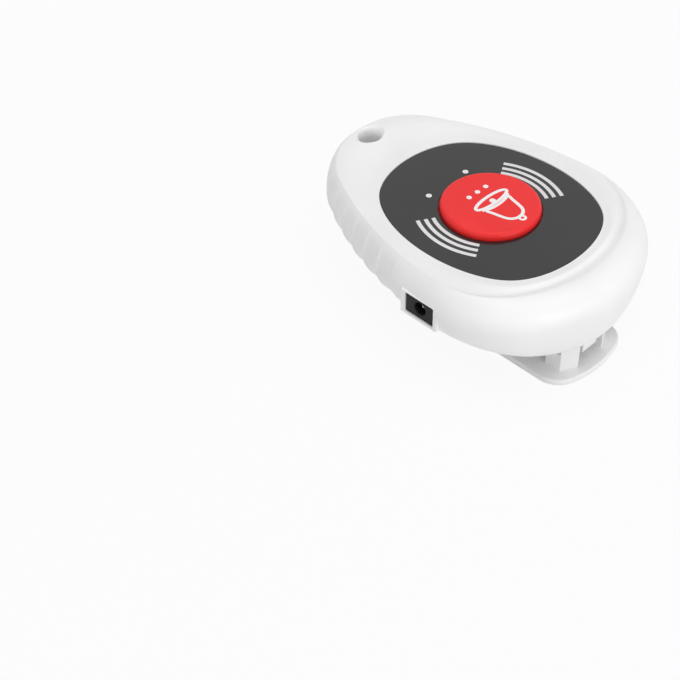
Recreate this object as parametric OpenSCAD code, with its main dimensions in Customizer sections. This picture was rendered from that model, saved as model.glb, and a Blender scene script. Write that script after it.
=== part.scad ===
// Hand-held nurse call button: a teardrop case with a large round call key on
// a dark faceplate, a charging jack in its side, a lanyard hole and a sprung belt clip.
// Millimetres. +Z points out of the face, +Y to the lanyard end, +X to the right.
// The origin lies under the middle of the case, on the plane that the clip rests on.

/* [Case] */
// Length of the case
body_length = 90; // [84:0.5:100]
// Width of the case
body_width = 68.4; // [64:0.2:74]
// Radius of the outline at the lanyard end
tip_radius = 24.5; // [22:0.1:27]
// Radius of the long sides
side_radius = 101; // [95:1:115]
// Radius of the two corners at the fat end
corner_radius = 28.6; // [27:0.1:29.5]
// Radius of the fat end
end_radius = 38.3; // [36.5:0.1:41]
// Height from the underside to the widest line
lower_height = 11.8; // [10.5:0.1:14]
// Height from the widest line to the face
upper_height = 6.9; // [6:0.1:9]
// How far the rim stands above the face at the lanyard end
rim_rise_tip = 1.9; // [1:0.1:2.5]
// How far the rim stands above the face at the sides
rim_rise_side = 0.4; // [0.2:0.1:0.8]
// How far the rim stands above the face at the fat end
rim_rise_end = 0.4; // [0.2:0.1:0.8]
// Depth of the groove in front of the rim at the fat end
groove_depth = 0.5; // [0.3:0.05:0.7]
// Inset of the rim at the fat end
rim_inset_end = 7.2; // [6:0.1:8]
// Inset of the rim at the sides
rim_inset_side = 3.4; // [2.5:0.1:4]
// Inset of the rim at the lanyard end
rim_inset_tip = 2.8; // [2:0.1:3.5]
// Inset of the flat underside at the fat end
base_inset_end = 2.9; // [2:0.1:4]
// Inset of the flat underside at the sides
base_inset_side = 10.3; // [9:0.1:11]
// Inset of the flat underside at the lanyard end
base_inset_tip = 5.2; // [4:0.1:6]
// Fullness of the curve under the widest line, 2 is an ellipse
base_fullness = 1.68; // [1.5:0.02:2.2]
// Wall of the case
wall = 2; // [1.6:0.1:2.4]
// Wall of the underside around the rear cover
base_wall = 3; // [2.6:0.1:3.6]
// Wall under the faceplate
face_wall = 1.5; // [1.2:0.1:2]

/* [Grips] */
// Number of scallops along each side
grip_count = 6; // [4:1:7]
// Length of one scallop
grip_pitch = 6.35; // [5.5:0.05:6.8]
// Depth of a scallop
grip_depth = 0.6; // [0.3:0.05:1]
// Distance of the first scallop from the lanyard end, along the outline
grip_from = 22.6; // [18:0.1:26]

/* [Faceplate] */
// Length of the faceplate
plate_length = 57; // [54:0.5:60]
// Width of the faceplate
plate_width = 49.4; // [46:0.2:52]
// How much the faceplate narrows to the lanyard end
plate_taper = 0.31; // [0:0.01:0.6]
// How square the faceplate is
plate_square = 0.735; // [0.3:0.005:1]
// How far the faceplate's middle lies in front of the call key
plate_lead = 0.6; // [0:0.1:1.2]
// Thickness of the faceplate
plate_thickness = 0.6; // [0.4:0.05:1]
// Thickness of the faceplate's adhesive
glue_thickness = 0.1; // [0.05:0.05:0.2]
// Gap round the faceplate
plate_gap = 0.1; // [0.05:0.05:0.3]
// Width of the margin round the faceplate
plate_margin = 2.3; // [1.6:0.1:2.8]
// How far the margin stands above the faceplate
margin_rise = 0.4; // [0.2:0.05:0.6]

/* [Call key] */
// Diameter of the call key
key_diameter = 26; // [22:0.1:27]
// Gap round the call key
key_gap = 0.35; // [0.2:0.05:0.5]
// Height of the call key above the face
key_rise = 1.9; // [1.2:0.1:2.5]
// Rounding of the call key's top edge
key_round = 0.9; // [0.4:0.1:1.1]
// Travel of the call key
key_travel = 0.5; // [0.3:0.05:0.8]
// Width of the flange that keeps the call key in
key_flange = 1.3; // [1.1:0.1:1.7]
// Thickness of the flange
key_flange_thickness = 1.3; // [1:0.1:1.8]
// Wall of the call key
key_wall = 1.8; // [1.4:0.1:2]
// Diameter of the call key's post
key_post_diameter = 5; // [4:0.1:6]
// Distance of the call key behind the middle of the case
key_back = 4; // [3:0.1:5]
// Width of the tab that stops the call key from turning
key_tab_width = 2.4; // [1.8:0.1:3]
// Wire of the return spring
key_spring_wire = 0.5; // [0.4:0.05:0.6]
// Turns of the return spring
key_spring_turns = 5; // [4:1:6]

/* [Lights] */
// Gap between the call key's flange and the light pipes
light_gap = 0.35; // [0.3:0.05:1.5]
// Angle of each light from the long axis
light_angle = 25.7; // [20:0.1:32]
// Diameter of the light windows
light_diameter = 1.5; // [1.2:0.1:1.8]
// Thickness of the light pipe's shank over the window
light_shoulder = 0.25; // [0.2:0.05:0.3]
// Diameter of the light pipe's collar
collar_diameter = 2.6; // [2.4:0.1:3]

/* [Lanyard] */
// Diameter of the lanyard hole
lanyard_diameter = 6; // [4:0.1:6.6]
// Distance of the lanyard hole's middle from the tip
lanyard_inset = 6.6; // [6.2:0.1:8]
// Wall round the lanyard hole
lanyard_wall = 2; // [1.4:0.1:2.4]

/* [Charging jack] */
// Width of the jack's face
jack_width = 9; // [8:0.1:10]
// Height of the jack's face
jack_height = 5.8; // [5.2:0.1:6.2]
// Length of the jack
jack_length = 12.1; // [11:0.1:14]
// Diameter of the jack's socket
jack_socket = 3.6; // [3.4:0.1:4]
// Diameter of the jack's centre pin
jack_pin_diameter = 1.3; // [1:0.05:1.5]
// Distance of the jack behind the middle of the case
jack_back = 10.85; // [9:0.05:12.5]
// Distance of the jack's middle below the widest line
jack_drop = 1.7; // [1.4:0.1:2]
// Depth of the jack's face behind the frame round it
jack_recess = 0.5; // [0.3:0.1:0.8]
// Width of the frame round the jack
jack_frame = 1.3; // [1:0.1:1.6]
// Gap round the jack
jack_gap = 0.15; // [0.1:0.05:0.25]

/* [Rear cover] */
// Thickness of the rear cover
lid_thickness = 1.8; // [1.5:0.1:2.2]
// Width of the underside left round the rear cover
lid_rim = 1.6; // [1.2:0.1:2]
// Gap round the rear cover
lid_gap = 0.15; // [0.1:0.05:0.25]
// Width of the ledge that the rear cover rests on
lid_ledge = 1.5; // [1:0.1:2]
// Thickness of the clip's seat on the rear cover
seat_thickness = 2.5; // [1.5:0.1:3.5]
// Width of the clip's seat
seat_width = 24; // [18:0.5:26]

/* [Screws] */
// Diameter of the screws
screw_diameter = 2; // [1.8:0.1:2.4]
// Diameter of the screw heads
screw_head = 3.8; // [3.4:0.1:4.2]
// Height of the screw heads
screw_head_height = 1; // [0.8:0.05:1.1]
// Diameter of the bosses that the screws turn into
boss_diameter = 5.5; // [5:0.1:6]
// Length of the case screws' thread
case_screw_length = 8; // [6:0.5:9]
// Length of the board screws' thread
board_screw_length = 5; // [4:0.5:6]

/* [Circuit board] */
// Thickness of the circuit board
board_thickness = 1.2; // [1:0.1:1.4]
// Gap between the circuit board and the opening that it passes through
board_gap = 0.3; // [0.2:0.05:0.6]
// How far the circuit board's tab reaches beside the jack
board_tab = 4.6; // [3.5:0.1:5]
// Height from the circuit board to the wall under the faceplate
board_drop = 7.3; // [7:0.1:7.6]
// Width of the key switch
switch_width = 6; // [5.6:0.1:6.2]
// Height of the key switch
switch_height = 3.5; // [3:0.1:3.8]
// Diameter of the key switch's plunger
plunger_diameter = 3.5; // [3:0.1:3.8]
// Wire of the antenna
antenna_wire = 0.6; // [0.5:0.05:0.7]
// Turns of the antenna
antenna_turns = 7; // [5:1:8]
// Mean radius of the antenna
antenna_radius = 1.8; // [1.4:0.1:2]

/* [Battery] */
// Width of the battery
battery_width = 20; // [16:0.5:21]
// Length of the battery
battery_length = 30; // [26:0.5:32]
// Thickness of the battery
battery_thickness = 5; // [4:0.1:5.2]
// Thickness of the tape under the battery
tape_thickness = 0.4; // [0.2:0.05:0.6]
// Distance of the battery behind the middle of the case
battery_back = 7; // [6:0.1:8]
// Diameter of the battery leads
lead_diameter = 1.1; // [0.9:0.1:1.2]

/* [Belt clip] */
// Width of the clip
clip_width = 28; // [26:0.5:30]
// Thickness of the clip
clip_thickness = 1.8; // [1.5:0.1:2.2]
// Gap between the clip and the underside
clip_gap = 10; // [9.6:0.1:11]
// Distance of the hinge from the fat end of the case
hinge_inset = 9; // [8.5:0.1:10]
// Distance of the clip's thumb end from the hinge
clip_thumb = 6.7; // [6:0.1:8]
// Distance of the clip's jaw from the hinge
clip_reach = 49; // [44:0.5:52]
// Corner radius of the clip
clip_corner = 7; // [5:0.5:9]
// Bow of the clip's thumb end
clip_bow = 1.4; // [0.8:0.1:2]
// Corner radius of the jaw's lip
lip_corner = 5; // [3:0.5:6]
// Length over which the jaw curls up
jaw_length = 6; // [5:0.5:8]
// Distance between the clip's two ears
ear_spacing = 9.4; // [8.6:0.1:10]
// Thickness of an ear
ear_thickness = 4.6; // [4:0.1:5]
// Radius of an ear round the hinge
ear_radius = 3.6; // [3.2:0.1:3.8]
// Slant of an ear's front face
ear_slant = 2.4; // [1.5:0.1:3]
// Width of the rear cover's hinge knuckle
knuckle_width = 5.5; // [5:0.1:6]
// Half depth of the knuckle
knuckle_reach = 3.1; // [2.8:0.1:3.4]
// Diameter of the hinge pin
hinge_pin_diameter = 2; // [1.6:0.1:2.2]
// Running clearance on the hinge pin's radius
hinge_clearance = 0.05; // [0.02:0.01:0.1]
// Gap between the closed clip and what it meets
clip_clearance = 0.3; // [0.2:0.05:0.4]
// Wire of the clip's spring
clip_spring_wire = 0.4; // [0.35:0.05:0.45]

/* [Hidden] */
$fn = 48;
// Overshoot of a cut
cut = 1;

// Heights
underside_z = clip_thickness + clip_gap;
widest_z = underside_z + lower_height;
face_z = widest_z + upper_height;
recess_z = face_z - plate_thickness - glue_thickness;
ceiling_z = recess_z - face_wall;
lid_top_z = underside_z + lid_thickness;
floor_z = underside_z + base_wall;
board_z = ceiling_z - board_drop;
board_under_z = board_z - board_thickness;
hinge_z = underside_z - ear_radius - clip_clearance;
seat_z = underside_z - seat_thickness;

// Places along the case
key_y = -key_back;
plate_y = key_y + plate_lead;
lanyard_y = body_length / 2 - lanyard_inset;
hinge_y = hinge_inset - body_length / 2;
battery_y = -battery_back;

// Outline of the case: four tangent arcs on each side
tip_centre = [0, body_length / 2 - tip_radius];
end_centre = [0, end_radius - body_length / 2];
corner_x = body_width / 2 - corner_radius;
corner_centre = [corner_x, end_centre.y - sqrt((end_radius - corner_radius) ^ 2 - corner_x ^ 2)];
arc_span = corner_centre - tip_centre;
tip_reach = side_radius - tip_radius;
corner_reach = side_radius - corner_radius;
side_along = (tip_reach ^ 2 - corner_reach ^ 2 + arc_span * arc_span) / (2 * norm(arc_span));
side_across = sqrt(tip_reach ^ 2 - side_along ^ 2);
span_unit = arc_span / norm(arc_span);
side_centre = tip_centre + side_along * span_unit + side_across * [span_unit.y, -span_unit.x];
tip_turn = bearing(tip_centre - side_centre);
side_turn = bearing(corner_centre - side_centre);
corner_turn = bearing(corner_centre - end_centre);
tip_run = arc_length(tip_radius, tip_turn);
side_run = tip_run + arc_length(side_radius, side_turn - tip_turn);
corner_run = side_run + arc_length(corner_radius, corner_turn - side_turn);
half_run = corner_run + arc_length(end_radius, 180 - corner_turn);

// Points along half of the outline, closest together along the grips
grip_samples = 4;
tip_steps = 8;
end_steps = 18;
coarse_steps = 26;
grip_to = grip_from + grip_count * grip_pitch;
fine_stations = concat(
    [for (i = [0:tip_steps - 1]) grip_from * i / tip_steps],
    [for (i = [0:grip_count * grip_samples - 1]) grip_from + grip_pitch * i / grip_samples],
    [for (i = [0:end_steps]) grip_to + (half_run - grip_to) * i / end_steps]);
coarse_stations = [for (i = [0:coarse_steps]) half_run * i / coarse_steps];

// Bearing of a vector from +Y towards +X
function bearing(v) = atan2(v.x, v.y);
function heading(turn) = [sin(turn), cos(turn)];
function arc_length(radius, turn) = radius * turn * PI / 180;
function arc_turn(radius, run) = run / radius * 180 / PI;
function mix(a, b, share) = a + (b - a) * share;
function flip(p) = [-p.x, p.y];

// A value that is given at the fat end, at the sides and at the tip
function round_value(at_end, at_side, at_tip, turn) =
    (at_end + at_tip) / 4 + at_side / 2 + (at_tip - at_end) / 2 * cos(turn)
    + ((at_end + at_tip) / 4 - at_side / 2) * cos(2 * turn);
function rim_inset(turn) = round_value(rim_inset_end, rim_inset_side, rim_inset_tip, turn);
function base_inset(turn) = round_value(base_inset_end, base_inset_side, base_inset_tip, turn);
function rim_z(turn) = face_z + round_value(rim_rise_end, rim_rise_side, rim_rise_tip, turn);
// Angle that the wall above the widest line has turned through at the rim: 90 meets the rim smoothly
rim_turn_end = 90;
rim_turn_side = 58;
rim_turn_tip = 80;
function rim_turn(turn) = round_value(rim_turn_end, rim_turn_side, rim_turn_tip, turn);
function rim_curve(turn, angle) = rim_inset(turn) * (1 - cos(angle)) / (1 - cos(rim_turn(turn)));
lid_tip_inset = lanyard_inset + lanyard_diameter / 2 + lanyard_wall + lid_rim;
function lid_inset(turn) =
    round_value(base_inset_end + lid_rim, base_inset_side + lid_rim, lid_tip_inset, turn);

// Bearing of the outline's normal at a distance from the tip
function station_turn(run) =
    run < tip_run ? arc_turn(tip_radius, run)
    : run < side_run ? tip_turn + arc_turn(side_radius, run - tip_run)
    : run < corner_run ? side_turn + arc_turn(corner_radius, run - side_run)
    : corner_turn + arc_turn(end_radius, run - corner_run);

// Point of the outline whose normal has this bearing, moved inwards
function edge_point(turn, inset) =
    turn < tip_turn ? tip_centre + (tip_radius - inset) * heading(turn)
    : turn < side_turn ? side_centre + (side_radius - inset) * heading(turn)
    : turn < corner_turn ? corner_centre + (corner_radius - inset) * heading(turn)
    : end_centre + (end_radius - inset) * heading(turn);

// Both halves of a closed outline, from its right half
function both_sides(half) = concat(half, [for (i = [len(half) - 2:-1:1]) flip(half[i])]);
function level(points, z) = [for (p = points) [p.x, p.y, z]];

// Scallops that meet in sharp crests
function scallop(run) =
    run < grip_from || run > grip_to ? 0 : grip_depth * abs(sin(180 * (run - grip_from) / grip_pitch));

// Faceplate outline: distance of its tangent from its centre, by bearing
plate_two = (plate_length - plate_width) / 4;
plate_mean = (plate_length + plate_width) / 4 + plate_square;
function plate_reach(turn) =
    plate_mean - plate_taper * cos(turn) + plate_two * cos(2 * turn)
    + plate_taper * cos(3 * turn) - plate_square * cos(4 * turn);
function plate_slope(turn) =
    plate_taper * sin(turn) - 2 * plate_two * sin(2 * turn)
    - 3 * plate_taper * sin(3 * turn) + 4 * plate_square * sin(4 * turn);
function plate_point(turn, grow) =
    [0, plate_y] + (plate_reach(turn) + grow) * heading(turn)
    + plate_slope(turn) * [cos(turn), -sin(turn)];
plate_step = 3;
function plate_outline(grow) = both_sides([for (turn = [0:plate_step:180]) plate_point(turn, grow)]);
function case_outline(inset_at) =
    both_sides([for (run = coarse_stations) edge_point(station_turn(run), inset_at(station_turn(run)))]);

// Inset of the case wall at a height between the underside and the rim
function wall_inset(turn, z) =
    z < widest_z
    ? base_inset(turn) * (1 - (1 - ((widest_z - z) / lower_height) ^ base_fullness) ^ (1 / base_fullness))
    : rim_curve(turn, asin(min(1, (z - widest_z) / (rim_z(turn) - widest_z)) * sin(rim_turn(turn))));

// Rings of the case: [angle or share of the curve, share of the scallops]
lower_rings = [[90, 0], [72, 0], [54, 0.25], [36, 0.7], [18, 1], [0, 1]];
upper_rings = [[0.2, 1], [0.4, 0.85], [0.6, 0.5], [0.8, 0.15], [1, 0]];
function lower_ring(angle, grip) = both_sides_3d([for (run = fine_stations) let (
    turn = station_turn(run),
    out = cos(angle) ^ (2 / base_fullness),
    down = sin(angle) ^ (2 / base_fullness),
    p = edge_point(turn, base_inset(turn) * (1 - out) + grip * scallop(run))
) [p.x, p.y, widest_z - lower_height * down]]);
function upper_ring(share, grip) = both_sides_3d([for (run = fine_stations) let (
    turn = station_turn(run),
    angle = share * rim_turn(turn),
    p = edge_point(turn, rim_curve(turn, angle) + grip * scallop(run))
) [p.x, p.y, mix(widest_z, rim_z(turn), sin(angle) / sin(rim_turn(turn)))]]);
// Round the margin the surface falls in a soft step to a groove at the fat end and ramps up at the tip
step_end = 0.37;
step_side = 0.88;
function step_foot(turn) = cos(turn) > 0 ? step_side
    : mix(step_end, step_side, sin(turn) ^ 2);
groove_from = 0.4;
groove_spread = 0.9;
function groove(turn) = groove_depth * step_drop(max(0, min(1, (groove_from - cos(turn)) / groove_spread)));
face_rings = [1, 0.75, 0.5, 0.25, 0];
function step_drop(share) = share ^ 2 * (3 - 2 * share);
function face_ring(share) = both_sides_3d([for (run = fine_stations) let (
    turn = station_turn(run),
    p = mix(plate_point(turn, plate_margin), edge_point(turn, rim_inset(turn)), share * step_foot(turn))
) [p.x, p.y, mix(face_z + margin_rise, rim_z(turn) - groove(turn), step_drop(share))]]);
function both_sides_3d(half) =
    concat(half, [for (i = [len(half) - 2:-1:1]) [-half[i].x, half[i].y, half[i].z]]);
function case_rings() = concat(
    [for (r = lower_rings) lower_ring(r[0], r[1])],
    [for (r = upper_rings) upper_ring(r[0], r[1])],
    [for (share = face_rings) face_ring(share)]);

// Rings of the hollow, with its top edge chamfered
hollow_chamfer = 1.5;
hollow_levels = [0, 0.2, 0.42, 0.65, 0.85];
function hollow_ring(z, inset) = level(both_sides([for (run = coarse_stations) let (
    turn = station_turn(run)
) edge_point(turn, wall_inset(turn, z) + inset)]), z);
function hollow_rings() = concat(
    [for (s = hollow_levels) hollow_ring(mix(floor_z, ceiling_z - hollow_chamfer, s), wall)],
    [hollow_ring(ceiling_z - hollow_chamfer, wall), hollow_ring(ceiling_z, wall + hollow_chamfer)]);

// Places of screws, lights and the jack
case_screw_turns = [tip_turn + 1, side_turn + 36.6];
case_screw_edge = 3.6;
case_screw_places = both_ways([for (turn = case_screw_turns)
    edge_point(turn, lid_inset(turn) + case_screw_edge)]);
function board_inset(turn) = lid_inset(turn) + lid_ledge + board_gap;
function both_ways(places) = concat(places, [for (p = places) flip(p)]);
frame_x = body_width / 2 - 0.1;
jack_face_x = frame_x - jack_recess;
jack_rear_x = jack_face_x - jack_length;
jack_y = -jack_back;
jack_z = widest_z - jack_drop;

// Sizes of the call key
key_radius = key_diameter / 2;
key_hole_radius = key_radius + key_gap;
key_top_z = face_z + key_rise;
key_inner_z = key_top_z - key_wall;
key_stop_gap = 0.1;
flange_top_z = ceiling_z - key_stop_gap;
flange_z = flange_top_z - key_flange_thickness;
flange_radius = key_radius + key_flange + key_gap;
plunger_rise = 1;
plunger_z = board_z + switch_height + plunger_rise;
post_z = plunger_z + 0.05;
key_tab_reach = 1.4;
key_guide_gap = 0.3;
key_guide_wall = 1.2;
spring_seat_gap = 0.05;
collar_radius = collar_diameter / 2;
light_radius = flange_radius + light_gap + collar_radius;
light_places = both_ways([[0, key_y] + light_radius * heading(light_angle)]);
board_screw_beside = 2.35;
board_screw_behind = 2.6;
board_screw_turn = corner_turn + 10;
board_screw_edge = 3.2;
board_screw_places = both_ways([
    light_places[0] + [collar_radius + boss_diameter / 2 + board_screw_beside, -board_screw_behind],
    edge_point(board_screw_turn, board_inset(board_screw_turn) + board_screw_edge)]);

// Sizes of the belt clip
clip_thumb_y = hinge_y - clip_thumb;
clip_jaw_y = hinge_y + clip_reach;
ear_in = ear_spacing / 2;
ear_out = ear_in + ear_thickness;
jaw_top_z = seat_z - clip_clearance;
pin_radius = hinge_pin_diameter / 2;

// A closed solid through rings of points that run clockwise seen from above
module loft(rings) {
    count = len(rings[0]);
    last = len(rings) - 1;
    function at(ring, i) = ring * count + i % count;
    polyhedron(
        points = [for (r = rings) each r],
        faces = concat(
            [[for (i = [count - 1:-1:0]) i]],
            [for (r = [0:last - 1]) for (i = [0:count - 1]) each [
                [at(r, i), at(r, i + 1), at(r + 1, i + 1)],
                [at(r, i), at(r + 1, i + 1), at(r + 1, i)]]],
            [[for (i = [0:count - 1]) at(last, i)]]),
        convexity = 10);
}

// A round tube along a path, with the ring at each point square to the path
module tube(path, radius, sides) {
    last = len(path) - 1;
    function unit(v) = v / norm(v);
    function along(i) = unit(path[min(i + 1, last)] - path[max(i - 1, 0)]);
    function carry(v, t) = unit(v - (v * t) * t);
    function first_normal(t) = abs(t.z) < 0.9 ? carry([0, 0, 1], t) : carry([1, 0, 0], t);
    normals = [for (i = 0, v = first_normal(along(0)); i <= last;
        i = i + 1, v = i <= last ? carry(v, along(i)) : v) v];
    function ring(i) = [for (k = [0:sides - 1]) let (a = -360 * k / sides)
        path[i] + radius * (cos(a) * normals[i] + sin(a) * cross(along(i), normals[i]))];
    loft([for (i = [0:last]) ring(i)]);
}

// Least gap of a wound wire to itself, over points at least half a turn apart
function least_gap(path, wire, apart) = min([for (i = [0:len(path) - 1]) for (j = [i + apart:1:len(path) - 1])
    norm(path[i] - path[j])]) - wire;

module drill(places, diameter, z_from, z_to) {
    for (p = places) translate([p.x, p.y, z_from]) cylinder(d = diameter, h = z_to - z_from);
}

module slab(low, high) {
    translate(low) cube(high - low);
}

module prism(points, z_from, z_to) {
    translate([0, 0, z_from]) linear_extrude(z_to - z_from) polygon(points);
}

// A solid along X from an outline in Y and Z
module along_x(points, x_from, x_to) {
    translate([x_from, 0, 0]) rotate([90, 0, 90]) linear_extrude(x_to - x_from) polygon(points);
}

// A solid along Y from an outline in X and Z
module along_y(points, y_from, y_to) {
    translate([0, y_to, 0]) rotate([90, 0, 0]) linear_extrude(y_to - y_from) polygon(points);
}

module hinge_bore(radius, x_from, x_to) {
    translate([x_from, hinge_y, hinge_z]) rotate([0, 90, 0]) cylinder(r = radius, h = x_to - x_from);
}

// Frame of the jack: a flat face with bevelled sides that stands out of the curving wall
frame_depth = 6;
frame_bevel = 1;
frame_top = 0.5;
frame_foot = 0.7;
module jack_surround() {
    half = jack_width / 2 + jack_gap + jack_frame;
    low = jack_z - jack_height / 2 - jack_gap - frame_foot;
    high = jack_z + jack_height / 2 + jack_gap + frame_top;
    prism([[-frame_x, jack_y - half], [-frame_x, jack_y + half],
        [-frame_x + frame_depth, jack_y + half + frame_bevel],
        [-frame_x + frame_depth, jack_y - half - frame_bevel]], low, high);
}

module jack_window() {
    half = [jack_width / 2 + jack_gap, jack_height / 2 + jack_gap];
    slab([-frame_x - cut, jack_y - half[0], jack_z - half[1]],
        [-jack_rear_x, jack_y + half[0], jack_z + half[1]]);
}

// Posts inside the hollow: bosses for the screws, the lanyard tube and the key's guides
module posts() {
    drill(case_screw_places, boss_diameter, lid_top_z, ceiling_z + cut);
    drill(board_screw_places, boss_diameter, board_z, ceiling_z + cut);
    drill([[0, lanyard_y]], lanyard_diameter + 2 * lanyard_wall, floor_z - cut, face_z);
    for (side = [-1, 1]) {
        x = side * (key_tab_width / 2 + key_guide_gap + key_guide_wall / 2);
        slab([x - key_guide_wall / 2, key_y - flange_radius - key_tab_reach - key_guide_gap, flange_z],
            [x + key_guide_wall / 2, key_y - flange_radius - key_guide_gap, ceiling_z + cut]);
    }
}

module front_cover() {
    color("white") difference() {
        union() {
            loft(case_rings());
            jack_surround();
        }
        difference() {
            union() {
                loft(hollow_rings());
                prism(case_outline(function(turn) lid_inset(turn) + lid_ledge), lid_top_z - cut, floor_z + cut);
            }
            posts();
        }
        prism(case_outline(function(turn) lid_inset(turn) - lid_gap), underside_z - cut, lid_top_z);
        prism(plate_outline(plate_gap), recess_z, face_z + cut);
        translate([0, key_y, ceiling_z - cut]) cylinder(r = key_hole_radius, h = face_wall + 2 * cut, $fn = 96);
        drill(light_places, light_diameter + 2 * light_shoulder, ceiling_z - cut, face_z);
        drill([[0, lanyard_y]], lanyard_diameter, underside_z - cut, face_z + rim_rise_tip + cut);
        drill(case_screw_places, screw_diameter, lid_top_z - cut, lid_top_z + case_screw_length);
        drill(board_screw_places, screw_diameter, board_z - cut, board_z + board_screw_length);
        jack_window();
    }
}

// Rear cover: a plate in the underside with the clip's seat, its hinge knuckle and the battery's tray
tray_wall = 1;
tray_gap = 0.3;
tray_height = 3;
tray_share = 0.55;
seat_start = 6;
head_gap = 0.3;
screw_gap = 0.2;
module rear_cover() {
    tray_in = battery_width / 2 + tray_gap;
    tray_half = battery_length * tray_share / 2;
    color("white") difference() {
        union() {
            prism(case_outline(function(turn) lid_inset(turn)), underside_z, lid_top_z);
            slab([-seat_width / 2, hinge_y + seat_start, seat_z], [seat_width / 2, clip_jaw_y, underside_z]);
            slab([-knuckle_width / 2, hinge_y - knuckle_reach, hinge_z - knuckle_reach],
                [knuckle_width / 2, hinge_y + knuckle_reach, underside_z]);
            for (side = [0, 1]) mirror([side, 0, 0])
                slab([tray_in, battery_y - tray_half, lid_top_z],
                    [tray_in + tray_wall, battery_y + tray_half, lid_top_z + tray_height]);
        }
        hinge_bore(pin_radius + hinge_clearance, -knuckle_width, knuckle_width);
        drill(case_screw_places, screw_diameter + 2 * screw_gap, underside_z - cut, lid_top_z + cut);
        drill(case_screw_places, screw_head + 2 * head_gap, underside_z - cut, underside_z + screw_head_height);
    }
}

module plate_holes(z_from, z_to) {
    translate([0, key_y, z_from]) cylinder(r = key_hole_radius, h = z_to - z_from, $fn = 96);
    drill(light_places, light_diameter + 2 * plate_gap, z_from, z_to);
}

module faceplate() {
    color("dimgray") difference() {
        prism(plate_outline(0), recess_z + glue_thickness, face_z);
        plate_holes(recess_z, face_z + cut);
    }
}

glue_inset = 0.6;
module faceplate_adhesive() {
    color("lightyellow") difference() {
        prism(plate_outline(-glue_inset), recess_z, recess_z + glue_thickness);
        translate([0, 0, -cut]) plate_holes(recess_z, recess_z + 3 * cut);
        drill(light_places, light_diameter + 2 * light_shoulder + 2 * plate_gap, recess_z - cut, face_z);
    }
}

// Call key: a hollow cap with a rounded edge, a flange, a post and a tab against turning
module call_button() {
    bore = key_radius - key_wall;
    color("red") {
        translate([0, key_y, 0]) rotate_extrude($fn = 96) difference() {
            union() {
                translate([0, key_inner_z]) square([key_radius, key_wall - key_round]);
                translate([0, key_inner_z]) square([key_radius - key_round, key_wall]);
                translate([key_radius - key_round, key_top_z - key_round]) circle(key_round);
                translate([bore, flange_z]) square([key_wall, key_inner_z - flange_z]);
                translate([bore, flange_z]) square([flange_radius - bore, key_flange_thickness]);
                translate([0, post_z]) square([key_post_diameter / 2, key_inner_z - post_z]);
            }
            translate([-key_radius, 0]) square([key_radius, key_top_z + cut]);
        }
        slab([-key_tab_width / 2, key_y - flange_radius - key_tab_reach, flange_z],
            [key_tab_width / 2, key_y - flange_radius + key_flange, flange_top_z]);
    }
}

// Return spring of the call key, wound round the switch
spring_rings = 12;
spring_clearance = 0.3;
key_spring_radius = switch_width * sqrt(2) / 2 + key_spring_wire + spring_clearance;
function key_spring_path() = let (
    low = board_z + spring_seat_gap + key_spring_wire / 2,
    high = key_inner_z - spring_seat_gap - key_spring_wire / 2,
    steps = key_spring_turns * spring_rings
) [for (i = [0:steps]) let (a = 360 * i / spring_rings)
    [key_spring_radius * cos(a), key_y + key_spring_radius * sin(a), mix(low, high, i / steps)]];
module button_spring() {
    color("silver") tube(key_spring_path(), key_spring_wire / 2, 6);
}

// Light pipes: a nose in the faceplate, a shank in the wall and a collar under it
collar_height = 1;
led_height = 0.8;
led_gap = 0.3;
pipe_clearance = 0.05;
module light_pipes() {
    shank = light_diameter / 2 + light_shoulder - pipe_clearance;
    low = board_z + led_height + led_gap;
    color("gainsboro") for (p = light_places) translate([p.x, p.y, 0]) {
        translate([0, 0, low]) cylinder(r = shank, h = recess_z - low);
        translate([0, 0, recess_z - cut / 2]) cylinder(d = light_diameter, h = face_z - recess_z + cut / 2);
        translate([0, 0, ceiling_z - collar_height]) cylinder(r = collar_radius, h = collar_height);
    }
}

led_size = [2, 1.25];
module indicator_leds() {
    color("ivory") for (p = light_places)
        slab([p.x - led_size.x / 2, p.y - led_size.y / 2, board_z],
            [p.x + led_size.x / 2, p.y + led_size.y / 2, board_z + led_height]);
}

// Circuit board: small enough for the opening under the rear cover, with a tab round the jack
boss_gap = 0.4;
tab_arm = 3.4;
module circuit_board() {
    half = jack_width / 2 + jack_gap;
    color("darkgreen") difference() {
        union() {
            prism(case_outline(function(turn) board_inset(turn)), board_under_z, board_z);
            slab([-jack_rear_x - board_tab, jack_y - half - tab_arm, board_under_z],
                [0, jack_y + half + tab_arm, board_z]);
        }
        drill(case_screw_places, boss_diameter + 2 * boss_gap, board_under_z - cut, board_z + cut);
        drill(board_screw_places, screw_diameter + 2 * screw_gap, board_under_z - cut, board_z + cut);
        slab([-body_width / 2, jack_y - half, board_under_z - cut],
            [-jack_rear_x + jack_gap, jack_y + half, board_z + cut]);
    }
}

// Key switch: a moulded body, a metal plate over it and a plunger that slides in both
switch_plate_thickness = 0.3;
plunger_clearance = 0.05;
plunger_foot = 0.5;
plunger_foot_radius = 2.2;
switch_well = 1.9;
module switch_body() {
    half = switch_width / 2;
    top = board_z + switch_height - switch_plate_thickness;
    color("black") difference() {
        slab([-half, key_y - half, board_z], [half, key_y + half, top]);
        translate([0, key_y, top - switch_well])
            cylinder(r = plunger_foot_radius + 2 * plunger_clearance, h = switch_well + cut);
    }
}

module switch_plate() {
    half = switch_width / 2;
    top = board_z + switch_height;
    color("silver") difference() {
        slab([-half, key_y - half, top - switch_plate_thickness], [half, key_y + half, top]);
        translate([0, key_y, top - cut])
            cylinder(r = plunger_diameter / 2 + plunger_clearance, h = 2 * cut);
    }
}

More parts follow.
